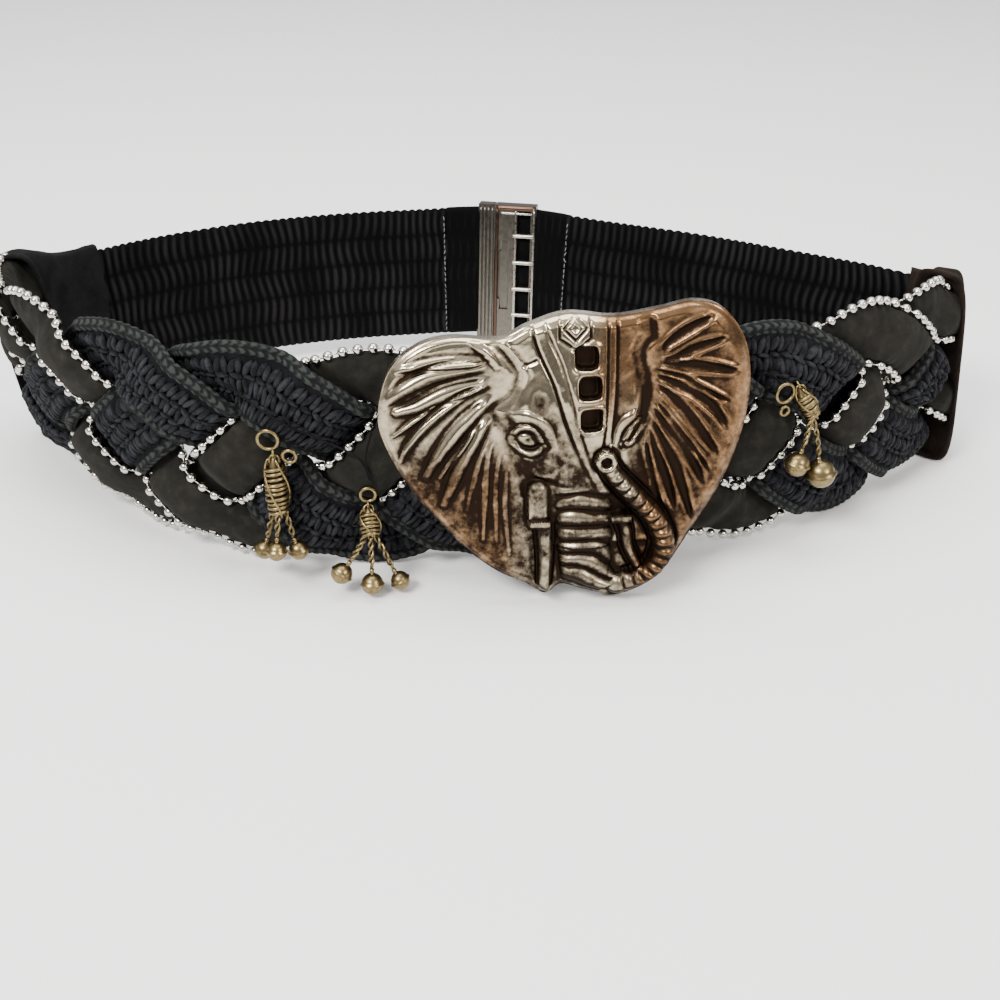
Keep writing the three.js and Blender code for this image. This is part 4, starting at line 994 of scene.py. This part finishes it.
def castFace(x, y, share):
    w, h = cast["width"], cast["height"]
    sx, sy = x / w, y / h
    z = np.zeros(x.shape)
    for dx, dy, halfX, halfY, rise in castDomes:
        z += rise * cast["relief"] * (1 - smooth(np.hypot((sx - dx) / halfX, (sy - dy) / halfY), 0, 1))
    # ears are shallow dishes with raised ribs on the left and cut valleys on the right
    dl, fl, hand, _ = castDistance(x, y, headPaths["leftEdge"])
    dr, fr, handR, _ = castDistance(x, y, headPaths["rightEdge"])
    leftEar = smooth(hand * dl * -1, -0.6, 1.2) * (sx < 0.0)
    rightEar = smooth(handR * dr, -0.6, 1.2) * (sx > 0.12)
    ears = np.clip(leftEar + rightEar, 0, 1)
    z += ears * (0.35 + 0.9 * smooth(share, 0.55, 0.9))
    for path, half, rise in leftEarRibs:
        d, f, _, _ = castDistance(x, y, path)
        taper = smooth(f, 0, 0.2) * (0.55 + 0.45 * (1 - smooth(f, 0.8, 1)))
        width = 1.15 * half * (0.55 + 0.45 * np.sin(np.pi * np.clip(f, 0.02, 0.98)))
        z += leftEar * 1.35 * rise * taper * roundTop(np.clip(d / width, 0, 1)) ** 1.3
        z -= leftEar * 0.5 * np.exp(-(((d - width * 1.3) / 0.5) ** 2)) * taper
    for path, half, deep in rightEarGrooves:
        d, f, _, _ = castDistance(x, y, path)
        taper = smooth(f, 0, 0.12) * (1 - smooth(f, 0.82, 1))
        width = half * (0.5 + 0.5 * np.sin(np.pi * np.clip(f, 0.02, 0.98)))
        z -= rightEar * deep * taper * (1 - np.clip(d / width, 0, 1)) ** 0.8
        z += rightEar * 0.55 * np.exp(-(((d - width * 1.5) / 0.6) ** 2)) * taper
    z += rightEar * 0.7
    # the head stands up out of the ears, with a fold where they meet
    z += 1.8 * smooth(hand * dl, 0, 4.5) * smooth(-handR * dr, 0, 4.5) * (sy > -0.3)
    z -= 1.1 * np.exp(-((dl / 1.1) ** 2)) * (1 - 0.8 * smooth(fl, 0.3, 0.6)) * (fl < 0.97)
    z -= 0.8 * np.exp(-((dr / 0.8) ** 2)) * (1 - 0.5 * smooth(fr, 0.6, 0.9))
    for key, rise, half in (("leftFold", 1.0, 1.3), ("leftFoldInner", 0.8, 1.2)):
        d, f, _, _ = castDistance(x, y, headPaths[key])
        z += rise * roundTop(d / half) * smooth(f, 0, 0.15) * (1 - smooth(f, 0.85, 1))
    # headpiece: a low plate between two double borders
    da, fa, ha, _ = castDistance(x, y, headPaths["borderA"])
    db, fb, hb, _ = castDistance(x, y, headPaths["borderB"])
    dc, fc, hc, _ = castDistance(x, y, headPaths["borderC"])
    dd, fd, hd, _ = castDistance(x, y, headPaths["borderD"])
    plate = smooth(ha * da, -0.3, 0.3) * smooth(-hd * dd, -0.3, 0.3) * (sy > -0.09)
    z += 0.55 * plate
    for d, cut in ((da, 0.8), (db, 0.55), (dc, 0.7), (dd, 0.7)):
        z -= cut * np.exp(-((d / 0.42) ** 2)) * (sy > -0.09)
    for rx, ry in castRecesses:
        ox, oy = np.abs(x - rx * w), np.abs(y - ry * h)
        out = (ox**4 + oy**4) ** 0.25 / recess["half"]
        z -= recess["deep"] * (1 - smooth(out, 0.72, 1.0))
        z += 0.3 * np.exp(-(((out - 1.15) / 0.13) ** 2))
    mx, my = np.abs(sx - motif["x"]) / motif["halfX"], np.abs(sy - motif["y"]) / motif["halfY"]
    hexagon = np.maximum(mx, my * 0.75 + mx * 0.5)
    z -= 0.8 * np.exp(-(((hexagon - 0.82) / 0.08) ** 2)) * (my < 1.25)
    z -= 0.8 * np.exp(-((((mx + my) - 0.62) / 0.09) ** 2))
    z -= 0.5 * (1 - smooth(mx + my, 0.12, 0.26))
    # eyes: lids round a ball under a brow
    for side, ex, ey in (("left", -0.106, 0.07), ("right", 0.184, 0.083)):
        away = np.hypot(x - ex * w, y - ey * h)
        lean = 0.25 if side == "left" else -0.6
        ox, oy = x - ex * w, y - ey * h
        ox, oy = ox * math.cos(lean) - oy * math.sin(lean), ox * math.sin(lean) + oy * math.cos(lean)
        z -= 0.7 * np.exp(-((away / 4.0) ** 2))
        z += 1.1 * roundTop(np.hypot(ox / 2.8, oy / 1.75))
        z -= 0.35 * np.exp(-((away / 0.8) ** 2))
        for lid, rise in (("UpperLid", 1.35), ("LowerLid", 1.05)):
            d, f, _, _ = castDistance(x, y, headPaths[side + lid])
            z += rise * roundTop(d / 0.85) * smooth(f, 0, 0.15) * (1 - smooth(f, 0.85, 1))
            z -= 0.3 * np.exp(-(((d - 1.2) / 0.35) ** 2))
        d, f, _, _ = castDistance(x, y, headPaths[side + "Brow"])
        z += 0.9 * roundTop(d / 1.9) * smooth(f, 0, 0.25) * (1 - smooth(f, 0.75, 1))
    knob = np.hypot((x + 0.077 * w) / 3.0, (y - 0.2 * h) / 3.8)  # a worn hollow at the temple
    z -= 0.5 * (1 - smooth(knob, 0.2, 1.1))
    d, f, _, _ = castDistance(x, y, headPaths["templeLine"])
    z -= 0.55 * np.exp(-((d / 0.5) ** 2)) * smooth(f, 0, 0.2) * (1 - smooth(f, 0.8, 1))
    d, f, _, _ = castDistance(x, y, headPaths["cheekFold"])
    z -= 0.6 * np.exp(-((d / 0.8) ** 2)) * (1 - smooth(f, 0.8, 1))
    # trunk: a broad round ridge with cross folds
    d, f, _, length = castDistance(x, y, headPaths["trunk"])
    half = 8.2 - 1.6 * f
    round_ = roundTop(d / half)
    level = np.clip((trunkRibs["top"] - sy) / (trunkRibs["top"] - trunkRibs["bottom"]), -0.2, 1.2)
    bend = level * trunkRibs["count"] - 0.35 * (d / half) ** 2 + 0.1 * np.sin(x / 3.1 + 9 * level)
    bend = bend - 0.09 * (x - 4) * smooth(level, 0.25, 1)
    fold = np.abs(np.cos(np.pi * bend)) ** 0.75
    inRibs = smooth(level, -0.03, 0.05)
    trunk = (3.1 + 0.55 * inRibs) * round_**0.8 - trunkRibs["depth"] * (1 - fold) * inRibs * (round_ > 0.05)
    z = np.where(f < 0.995, np.maximum(z, 0.35 * z + trunk + 0.9), z)
    # tusks, each in a sleeve with a collar
    d, f, _, _ = castDistance(x, y, headPaths["leftSleeve"])
    z = np.maximum(z, 3.0 + 2.0 * roundTop(d / 2.7) - 3.6 * (d > 2.7) * 2)
    for key, half, top in (("leftTusk", 2.2, 5.2), ("rightTusk", 1.9, 4.6)):
        d, f, _, _ = castDistance(x, y, headPaths[key])
        size = half * (1 - 0.35 * f)
        tusk = (top - 1.2 * f) * roundTop(d / size) ** 0.7
        z = np.maximum(z, tusk * (d < size))
        z -= 0.5 * np.exp(-(((d - size - 0.4) / 0.4) ** 2)) * (f > 0.02) * (f < 0.98)
    for cx, cy in ((-0.075, -0.208), (0.147, -0.2)):
        out = np.maximum(np.abs(x - cx * w) / 3.1, np.abs(y - cy * h) / 1.0)
        z = np.maximum(z, 6.0 * (1 - smooth(out, 0.8, 1.15)))
    # the trunk's end curls up to the right as a ringed tube with an open tip
    d, f, _, length = castDistance(x, y, headPaths["curl"])
    size = 2.5 + 0.9 * np.clip(f, 0, 1)
    ring = np.abs(np.cos(np.pi * f * length / 2.9)) ** 0.7
    curl = (7.6 - 3.2 * smooth(f, 0.55, 1)) * roundTop(d / size) ** 0.55 - 1.1 * (1 - ring) * smooth(f, 0.08, 0.12)
    z = np.where(d < size, np.maximum(z, curl), z)
    z -= 0.8 * np.exp(-(((d - size - 0.35) / 0.4) ** 2)) * (f < 0.97)
    away = np.hypot(x - 0.1 * w, y - 0.006 * h)
    z = np.maximum(z, 8.0 * (1 - smooth(away, 2.6, 3.3)))
    z -= 1.8 * (1 - smooth(away, 0.9, 1.7))
    # the rim: a narrow rolled edge
    roll = np.exp(-(((share - 0.97) / 0.018) ** 2)) * (0.8 + 0.5 * smooth(-sx, 0.05, 0.3))
    z = np.maximum(z, 0) * (1 - smooth(share, 0.925, 1)) + roll * 0.5
    grain = 0.05 * softNoise(x, y, 9, 71) + 0.015 * softNoise(x, y, 2.6, 73)
    return cast["rim"] + z + grain * (1 - smooth(share, 0.9, 1))


def castTones(sx, sy):
    # the right side and the low left ear are tinted copper; painted shade darkens the low left ear, the right side, the
    # lower head and trunk, the cheek, the left ear and the bottom
    wander = 0.05 * softNoise(sx, sy, 0.5, 81)
    right = smooth(sx + 0.12 * sy + wander, 0.1, 0.2)
    lowLeft = smooth(-sx, 0.1, 0.19) * smooth(-sy + 0.5 * wander, -0.12, 0.1)
    lowHead = smooth(-sy, -0.02, 0.12) * (1 - smooth(np.abs(sx - 0.03), 0.1, 0.2))
    warm = np.clip(np.maximum(right * (1 - 0.55 * lowHead), 0.9 * lowLeft) + wander, 0, 1)
    # painted shade inside the recesses and a painted shadow in the dent at the temple
    deep = 0
    for rx, ry in castRecesses:
        ox, oy = np.abs(sx - rx) * cast["width"], np.abs(sy - ry) * cast["height"]
        deep = np.maximum(deep, 1 - smooth((ox**4 + oy**4) ** 0.25 / recess["half"], 0.62, 0.95))
    knob = np.hypot((sx + 0.075) * cast["width"] / 2.2, (sy - 0.195) * cast["height"] / 2.8)
    deep = np.maximum(deep, 0.4 * (1 - smooth(knob, 0.3, 1.3)))
    cheek = (1 - smooth(np.hypot((sx + 0.03) / 0.12, (sy - 0.03) / 0.17), 0.55, 1.1))
    paintedShade = 1.1 * lowLeft + 0.65 * right + 0.85 * lowHead + 0.35 * smooth(-sx, 0.2, 0.4) + 0.7 * cheek
    paintedShade = np.clip(paintedShade + 0.25 * smooth(-sy, -0.1, 0.05), 0, 1.1) + 2.2 * deep
    return warm, paintedShade


def blurred(field, size):
    kernel = np.exp(-np.linspace(-2, 2, 2 * size + 1) ** 2)
    kernel /= kernel.sum()
    for axis in (0, 1):
        padded = np.pad(field, [(size, size) if k == axis else (0, 0) for k in (0, 1)], mode="edge")
        field = np.apply_along_axis(lambda row: np.convolve(row, kernel, "valid"), axis, padded)
    return field


def castPlace():
    lean, turn = math.radians(cast["lean"]), math.radians(cast["turn"])
    middle = cast["foot"] + cast["height"] / 2 * math.cos(lean)
    seat = cast["foot"] + cast["height"] * math.cos(lean) * cast["seat"]
    out = faceOut(cast["along"], seat) + cast["clear"] + (seat - middle) * math.tan(lean)
    origin = bandPoint(cast["along"], out, middle)
    across = np.array([math.cos(turn), math.sin(turn), 0])
    back = np.array([-math.sin(turn), math.cos(turn), 0])
    upwards = back * math.sin(lean) + np.array([0, 0, math.cos(lean)])
    return origin, across, upwards, np.cross(across, upwards), seat


castOrigin, castAcross, castUpwards, castFacing, castSeat = castPlace()


def addMedallion():
    n = cast["grid"]
    line = np.linspace(-1, 1, n + 1)
    u, v = np.meshgrid(line, line, indexing="ij")
    # an even square grid bent onto a disc, then stretched to the outline
    wide = np.abs(u) >= np.abs(v)
    radius = np.where(wide, u, v)
    ratio = np.where(wide, v / np.where(u == 0, 1, u), u / np.where(v == 0, 1, v))
    angle = np.where(wide, ratio * np.pi / 4, np.pi / 2 - ratio * np.pi / 4)
    dx, dy = radius * np.cos(angle), radius * np.sin(angle)
    share = np.abs(radius)
    reach = castOutlineReach(np.arctan2(dy, dx))
    x, y = dx * reach, dy * reach
    face = castFace(x, y, share)
    hollow = np.clip((blurred(face, 9) - face) / 0.85 + 0.14, 0, 1)
    hollow = np.maximum(hollow, np.clip((blurred(face, 3) - face) / 0.3, 0, 1))
    # painted shade: the undersides of ribs and folds are painted darker and their upper sides paler, a painted
    # highlight, on top of the patina in the hollows
    xu, yu, fu = (np.gradient(field, axis=0) for field in (x, y, face))
    xv, yv, fv = (np.gradient(field, axis=1) for field in (x, y, face))
    under = blurred((xu * fv - xv * fu) / (xu * yv - yu * xv), 2)
    hollow = np.clip(hollow + 0.34 * smooth(under, -0.05, 0.7) - 0.12 * smooth(-under, 0.1, 0.6), 0, 1)
    hollow *= 1 - 0.8 * smooth(share, 0.93, 0.965)
    index = np.arange((n + 1) ** 2).reshape(n + 1, n + 1)
    quads = [np.stack([index[:-1, :-1], index[1:, :-1], index[1:, 1:], index[:-1, 1:]], -1).reshape(-1, 4)]
    points = [np.stack([x, y, face], -1).reshape(-1, 3)]
    marks = [hollow.ravel()]
    edge = np.concatenate([index[:-1, 0], index[-1, :-1], index[:0:-1, -1], index[0, :0:-1]])
    edgeXY = points[0][edge][:, :2]
    last, start = edge, len(points[0])
    rings = [(1.0, 0.0)] + [(s, None) for s in (0.985, 0.93, 0.85, 0.72, 0.58, 0.44, 0.3, 0.16, 0.06)]
    slow = blurred(face, 12)
    for s, flat in rings:
        xy = edgeXY * s
        if flat is None:
            # the hollow follows the face, a wall's thickness behind it
            gridR = np.hypot(xy[:, 0], xy[:, 1]) / castOutlineReach(np.arctan2(xy[:, 1], xy[:, 0]))
            side = np.arctan2(xy[:, 1], xy[:, 0])
            turn = np.mod(side + np.pi / 4, 2 * np.pi)
            sector = np.floor(turn / (np.pi / 2))
            inSector = (turn - sector * np.pi / 2 - np.pi / 4) / (np.pi / 4)
            gu = np.select([sector == 0, sector == 1, sector == 2], [gridR, -inSector * gridR, -gridR], inSector * gridR)
            gv = np.select([sector == 0, sector == 1, sector == 2], [inSector * gridR, gridR, -inSector * gridR], -gridR)
            iu = np.clip(np.round((gu + 1) / 2 * n), 0, n).astype(int)
            iv = np.clip(np.round((gv + 1) / 2 * n), 0, n).astype(int)
            depth = np.maximum(slow[iu, iv] - cast["wall"] - cast["rim"] / 2, 0) * smooth(1 - s, 0.0, 0.1)
        else:
            depth = np.zeros(len(xy))
        points.append(np.column_stack([xy, depth]))
        marks.append(np.full(len(xy), 0.15 if flat is not None else 0.5))
        ring = start + np.arange(len(xy))
        quads.append(np.stack([last, np.roll(last, -1), np.roll(ring, -1), ring], -1))
        last, start = ring, start + len(ring)
    points.append(np.array([[0, 0, points[-1][:, 2].mean()]]))
    marks.append(np.array([0.45]))
    tris = np.stack([last, np.roll(last, -1), np.full(len(last), start)], -1)
    points = np.vstack(points)
    world = castOrigin + points[:, :1] * castAcross + points[:, 1:2] * castUpwards + points[:, 2:] * castFacing
    finish = patinaMaterial("pewter", (0.42, 0.355, 0.25), (0.24, 0.135, 0.066), (0.016, 0.0098, 0.0066), 0.15, 0.24)
    part = outward((world, np.vstack(quads), tris))
    warm, paintedShade = castTones(points[:, 0] / cast["width"], points[:, 1] / cast["height"])
    values = {"hollow": np.concatenate(marks), "warm": warm, "paintedShade": paintedShade}
    addPiece("medallion_casting", part, finish, ["elephant_medallion"], values=values)
    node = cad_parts["medallion_post"]
    node.data.materials.clear()
    node.data.materials.append(claspFinish)


addMedallion()
print("medallion made")

# Charms: small bells on twisted wires, wrapped and tied on with rings
charms = {
    "charm_1": {
        "along": -76.5, "rings": [(-1.5, 43.5, 6.5), (3.4, 38.8, 4.6)], "hangs": -75, "foot": (0.5, 0.6, 27),
        "wraps": 10, "wrapped": (-0.3, 0.76), "swell": 1.15,
        "bells": [(-4, 0.5, 10.2, 5.4), (0.3, 4.2, 12.6, 5.4), (4.6, 0.5, 11, 5.4)],
    },
    "charm_2": {
        "along": -54, "rings": [(-0.5, 27, 5)], "hangs": -90, "foot": (0, 2, 17.5),
        "wraps": 6, "wrapped": (-0.1, 0.74), "swell": 1.0,
        "bells": [(-7.4, 4.5, 6.6, 5.8), (0, 5.5, 3.8, 6), (7.2, 4.5, 3.6, 5.2)],
    },
    "charm_3": {
        "along": 60, "rings": [(-3.4, 49.5, 6.5), (-3, 44.1, 3.6)], "hangs": 25, "foot": (4.4, 0.8, 42),
        "wraps": 7, "wrapped": (0.05, 0.72), "swell": 0.9,
        "bells": [(0.4, 0.5, 28.5, 7), (7.4, 1.2, 24.5, 8.2)],
    },
}
charmWire = {"ring": 1.0, "wrap": 5, "leg": 1.2, "stem": 1.2, "eye": 1.2}
braidFace = braid["layer"] / 2 + crochet["thickness"] / 2
brassFinish = patinaMaterial(
    "antique_brass", (0.31, 0.235, 0.11), (0.22, 0.145, 0.062), (0.012, 0.008, 0.004), 0.2, 0.0
)


def ringFace(charm, ring):
    shift, up, wide = ring
    along, reach, hang = charm["along"] + shift, wide / 2, math.radians(charm["hangs"])
    eye = reach + charmWire["eye"]
    face = max(
        faceOut(along, up, strands),
        faceOut(along + eye * math.cos(hang), up + eye * math.sin(hang), strands),
    )
    for i in range(8):
        turn = math.pi * i / 4
        face = max(face, faceOut(along + reach * math.cos(turn), up + reach * math.sin(turn), strands))
    return face


def ringPoint(charm, ring, shift, up):
    face = max(ringFace(charm, charm["rings"][0]), ringFace(charm, ring))
    return bandPoint(charm["along"] + ring[0] + shift, face + braid["gap"] + charmWire["ring"] / 2, ring[1] + up)


def charmPoint(charm, shift, out, up):
    return bandPoint(charm["along"] + shift, braidFace + braid["gap"] + out, up)


def unit(vector):
    return vector / np.linalg.norm(vector)


def twistPath(start, end, bow, radius, turns, phase, count=60):
    t = np.linspace(0, 1, count)
    line = start + (end - start) * t[:, None] + bow * np.sin(np.pi * t)[:, None]
    _, side, over = pathFrames(line)
    angle = 2 * np.pi * turns * t + phase
    grow = radius * np.clip(np.sin(np.pi * t) * 3, 0.2, 1)
    return line + side * (grow * np.cos(angle))[:, None] + over * (grow * np.sin(angle))[:, None]


def bellProfile(radius):
    turn = np.linspace(-np.pi / 2 + 0.06, np.pi / 2 - 0.16, 22)
    rows = [(radius * math.cos(t), radius * math.sin(t)) for t in turn]
    lip = [(radius * 1.0, -0.05 * radius), (radius * 1.11, -0.04 * radius), (radius * 1.11, 0.05 * radius)]
    low = [r for r in rows if r[1] < -0.08 * radius]
    high = [r for r in rows if r[1] > 0.09 * radius]
    neck = [(charmWire["leg"] / 2, radius + 0.25), (charmWire["leg"] / 2, radius + charmWire["stem"])]
    return low + lip + high + neck


def addCharm(charmName, charm):
    for i, ring in enumerate(charm["rings"]):
        place = ringPoint(charm, ring, 0, 0)
        across = unit(ringPoint(charm, ring, 1, 0) - place)
        upwards = unit(ringPoint(charm, ring, 0, 1) - place)
        wire = charmWire["ring"] / 2
        part = ringPart(place, across, upwards, ring[2] / 2 - wire, wire)
        name = f"{charmName}_ring_{i + 1}"
        addPiece(name + "_wire", part, brassFinish, [name])
    first = charm["rings"][0]
    reach = (first[2] + charmWire["eye"]) / 2 + braid["gap"]
    hang = math.radians(charm["hangs"])
    top = ringPoint(charm, first, reach * math.cos(hang), reach * math.sin(hang))
    shift, out, up = charm["foot"]
    foot = charmPoint(charm, shift, out + charmWire["wrap"] / 2, up)
    length = np.linalg.norm(top - foot)
    axis = unit(top - foot)
    wrap = charmWire["wrap"] / 2
    core = [(0.1, 0), (wrap * 0.45, 0.1), (wrap * 0.72, length * 0.2), (wrap * 0.72, length * 0.68)]
    core += [(charmWire["eye"] * 0.5, length * 0.93), (0.15, length)]
    parts = [lathePart(foot, axis, core, 14)]
    t = np.linspace(0, 1, 22 * charm["wraps"])
    side = unit(np.cross(axis, (0.3, 1, 0.2)))
    over = np.cross(axis, side)
    # wraps sit unevenly, as when wound by hand
    swell = charm["swell"] * wrap * (0.7 + 0.28 * np.sin(np.pi * (0.1 + 0.75 * t)) + 0.05 * np.sin(23 * t))
    turn = 2 * np.pi * charm["wraps"] * t
    low, high = charm["wrapped"]
    coil = foot + axis * (length * (low + (high - low) * t + 0.012 * np.sin(17 * t)))[:, None]
    coil = coil + side * (swell * np.cos(turn))[:, None] + over * (swell * np.sin(turn))[:, None]
    parts.append(wirePart(coil, 0.5, 7))
    for phase in (0.4, 2.3, 4.4):
        # loose wires cross the wraps from eye to foot
        slant = phase + 2.1 * t[::6]
        across = side * np.cos(slant)[:, None] + over * np.sin(slant)[:, None]
        loose = foot + axis * (length * (0.9 - (1.0 - low) * t[::6]))[:, None]
        loose = loose + across * (charm["swell"] * wrap * (0.4 + 0.75 * np.sin(np.pi * t[::6]) ** 0.5))[:, None]
        parts.append(wirePart(loose, 0.36, 6))
    eyeAcross = unit(np.cross(axis, castFacing))
    parts.append(ringPart(top + axis * 0.1, axis, np.cross(axis, eyeAcross), 1.15, 0.36, 20, 7))
    parts.append(ringPart(foot + axis * length * 0.86, axis, eyeAcross, 1.3, 0.38, 20, 7))
    inside = foot + axis * length * 0.22
    for i, (bellShift, bellOut, bellUp, wide) in enumerate(charm["bells"]):
        middle = charmPoint(charm, bellShift, bellOut + wide / 2, bellUp)
        toFoot = unit(foot - middle)
        seat = middle + toFoot * (wide / 2 + charmWire["stem"])
        end = seat + unit(inside - seat) * braid["gap"]
        bow = castFacing * 0.7 + castAcross * 0.3 * (bellShift > 0)
        for phase in (0, np.pi):
            parts.append(wirePart(twistPath(inside, end, bow, 0.5, 2.5, phase), 0.4, 6))
        name = f"{charmName}_bell_{i + 1}"
        part = lathePart(middle, toFoot, bellProfile(wide / 2), 28)
        addPiece(name + "_cast", part, brassFinish, [name])
    addPiece(charmName + "_stem_wire", joinParts(parts), brassFinish, [charmName + "_stem"])


for charmName, charm in charms.items():
    addCharm(charmName, charm)
print("charms made")

# Black threads lying over the strands by the charms
def addThread(name, places, lift):
    places = splineThrough(np.array(places), 12, False)
    out = []
    for along, up in places:
        near = [faceOut(along + a, up + b, strands) for a, b in ((0, 0), (1.5, 0), (-1.5, 0), (0, 1.5), (0, -1.5))]
        out.append(max(near))
    out = np.convolve(np.pad(out, 6, mode="edge"), np.ones(13) / 13, "valid") + lift
    path = bandPoint(places[:, 0], out, places[:, 1])
    addPiece(name, wirePart(resample(path, 0.8), 0.3, 6), threadFinish)


addThread("loose_thread_1", [(-89.6, 57.7), (-76, 50.1), (-71, 46.9), (-57, 38.5), (-53.8, 31.5)], 1.0)
addThread("loose_thread_2", [(-52.9, 46.1), (-54.7, 38), (-53.2, 31)], 1.2)
addThread("loose_thread_3", [(-78, 47), (-74.5, 50.5), (-72.3, 49), (-74, 46.6)], 1.1)
addThread("loose_thread_4", [(54, 54), (57, 51.5), (60, 53), (62.5, 49.5)], 1.0)
print("threads made")

# Floor and light
bpy.ops.mesh.primitive_plane_add(size=24, location=(0, 0, -0.0004))
floor = bpy.context.object
floor.name = "floor"
floorFinish, _, floorShader = newMaterial("floor_paper", (0.86, 0.86, 0.86), 0.9)
floorShader.inputs["Specular IOR Level"].default_value = 0.1
floor.data.materials.append(floorFinish)

world = bpy.data.worlds.new("studio")
world.use_nodes = True
sky = world.node_tree
place = addNode(sky, "ShaderNodeTexCoord")
split = addNode(sky, "ShaderNodeSeparateXYZ", None, {"Vector": place.outputs["Generated"]})
level = addNode(
    sky, "ShaderNodeMapRange",
    {"From Min": 0.05, "From Max": 0.75, "To Min": 0.22, "To Max": 1.15, "interpolation_type": "SMOOTHSTEP"},
    {"Value": split.outputs["Z"]},
)
sky.nodes["Background"].inputs["Color"].default_value = (1, 1, 1, 1)
sky.links.new(level.outputs["Result"], sky.nodes["Background"].inputs["Strength"])
scene.world = world

lamps = [
    # name, place in metres, width, height, watts, colour
    ("key_light", (-0.5, -0.7, 0.9), 0.45, 0.3, 22, (1, 0.98, 0.95)),
    ("fill_light", (0.7, -0.6, 0.6), 0.3, 0.3, 6, (1, 0.93, 0.86)),
    ("top_light", (0.0, 0.1, 1.0), 0.9, 0.5, 12, (1, 1, 1)),
]
for name, place, width, height, watts, color in lamps:
    data = bpy.data.lights.new(name, "AREA")
    data.shape, data.size, data.size_y = "RECTANGLE", width, height
    data.energy, data.color = watts, color
    lamp = bpy.data.objects.new(name, data)
    lamp.location = place
    toMiddle = (np.array([0, 0, 0.03]) - np.array(place)).tolist()
    lamp.rotation_euler = mathutils.Vector(toMiddle).to_track_quat("-Z", "Y").to_euler()
    scene.collection.objects.link(lamp)
print("floor and lights made")
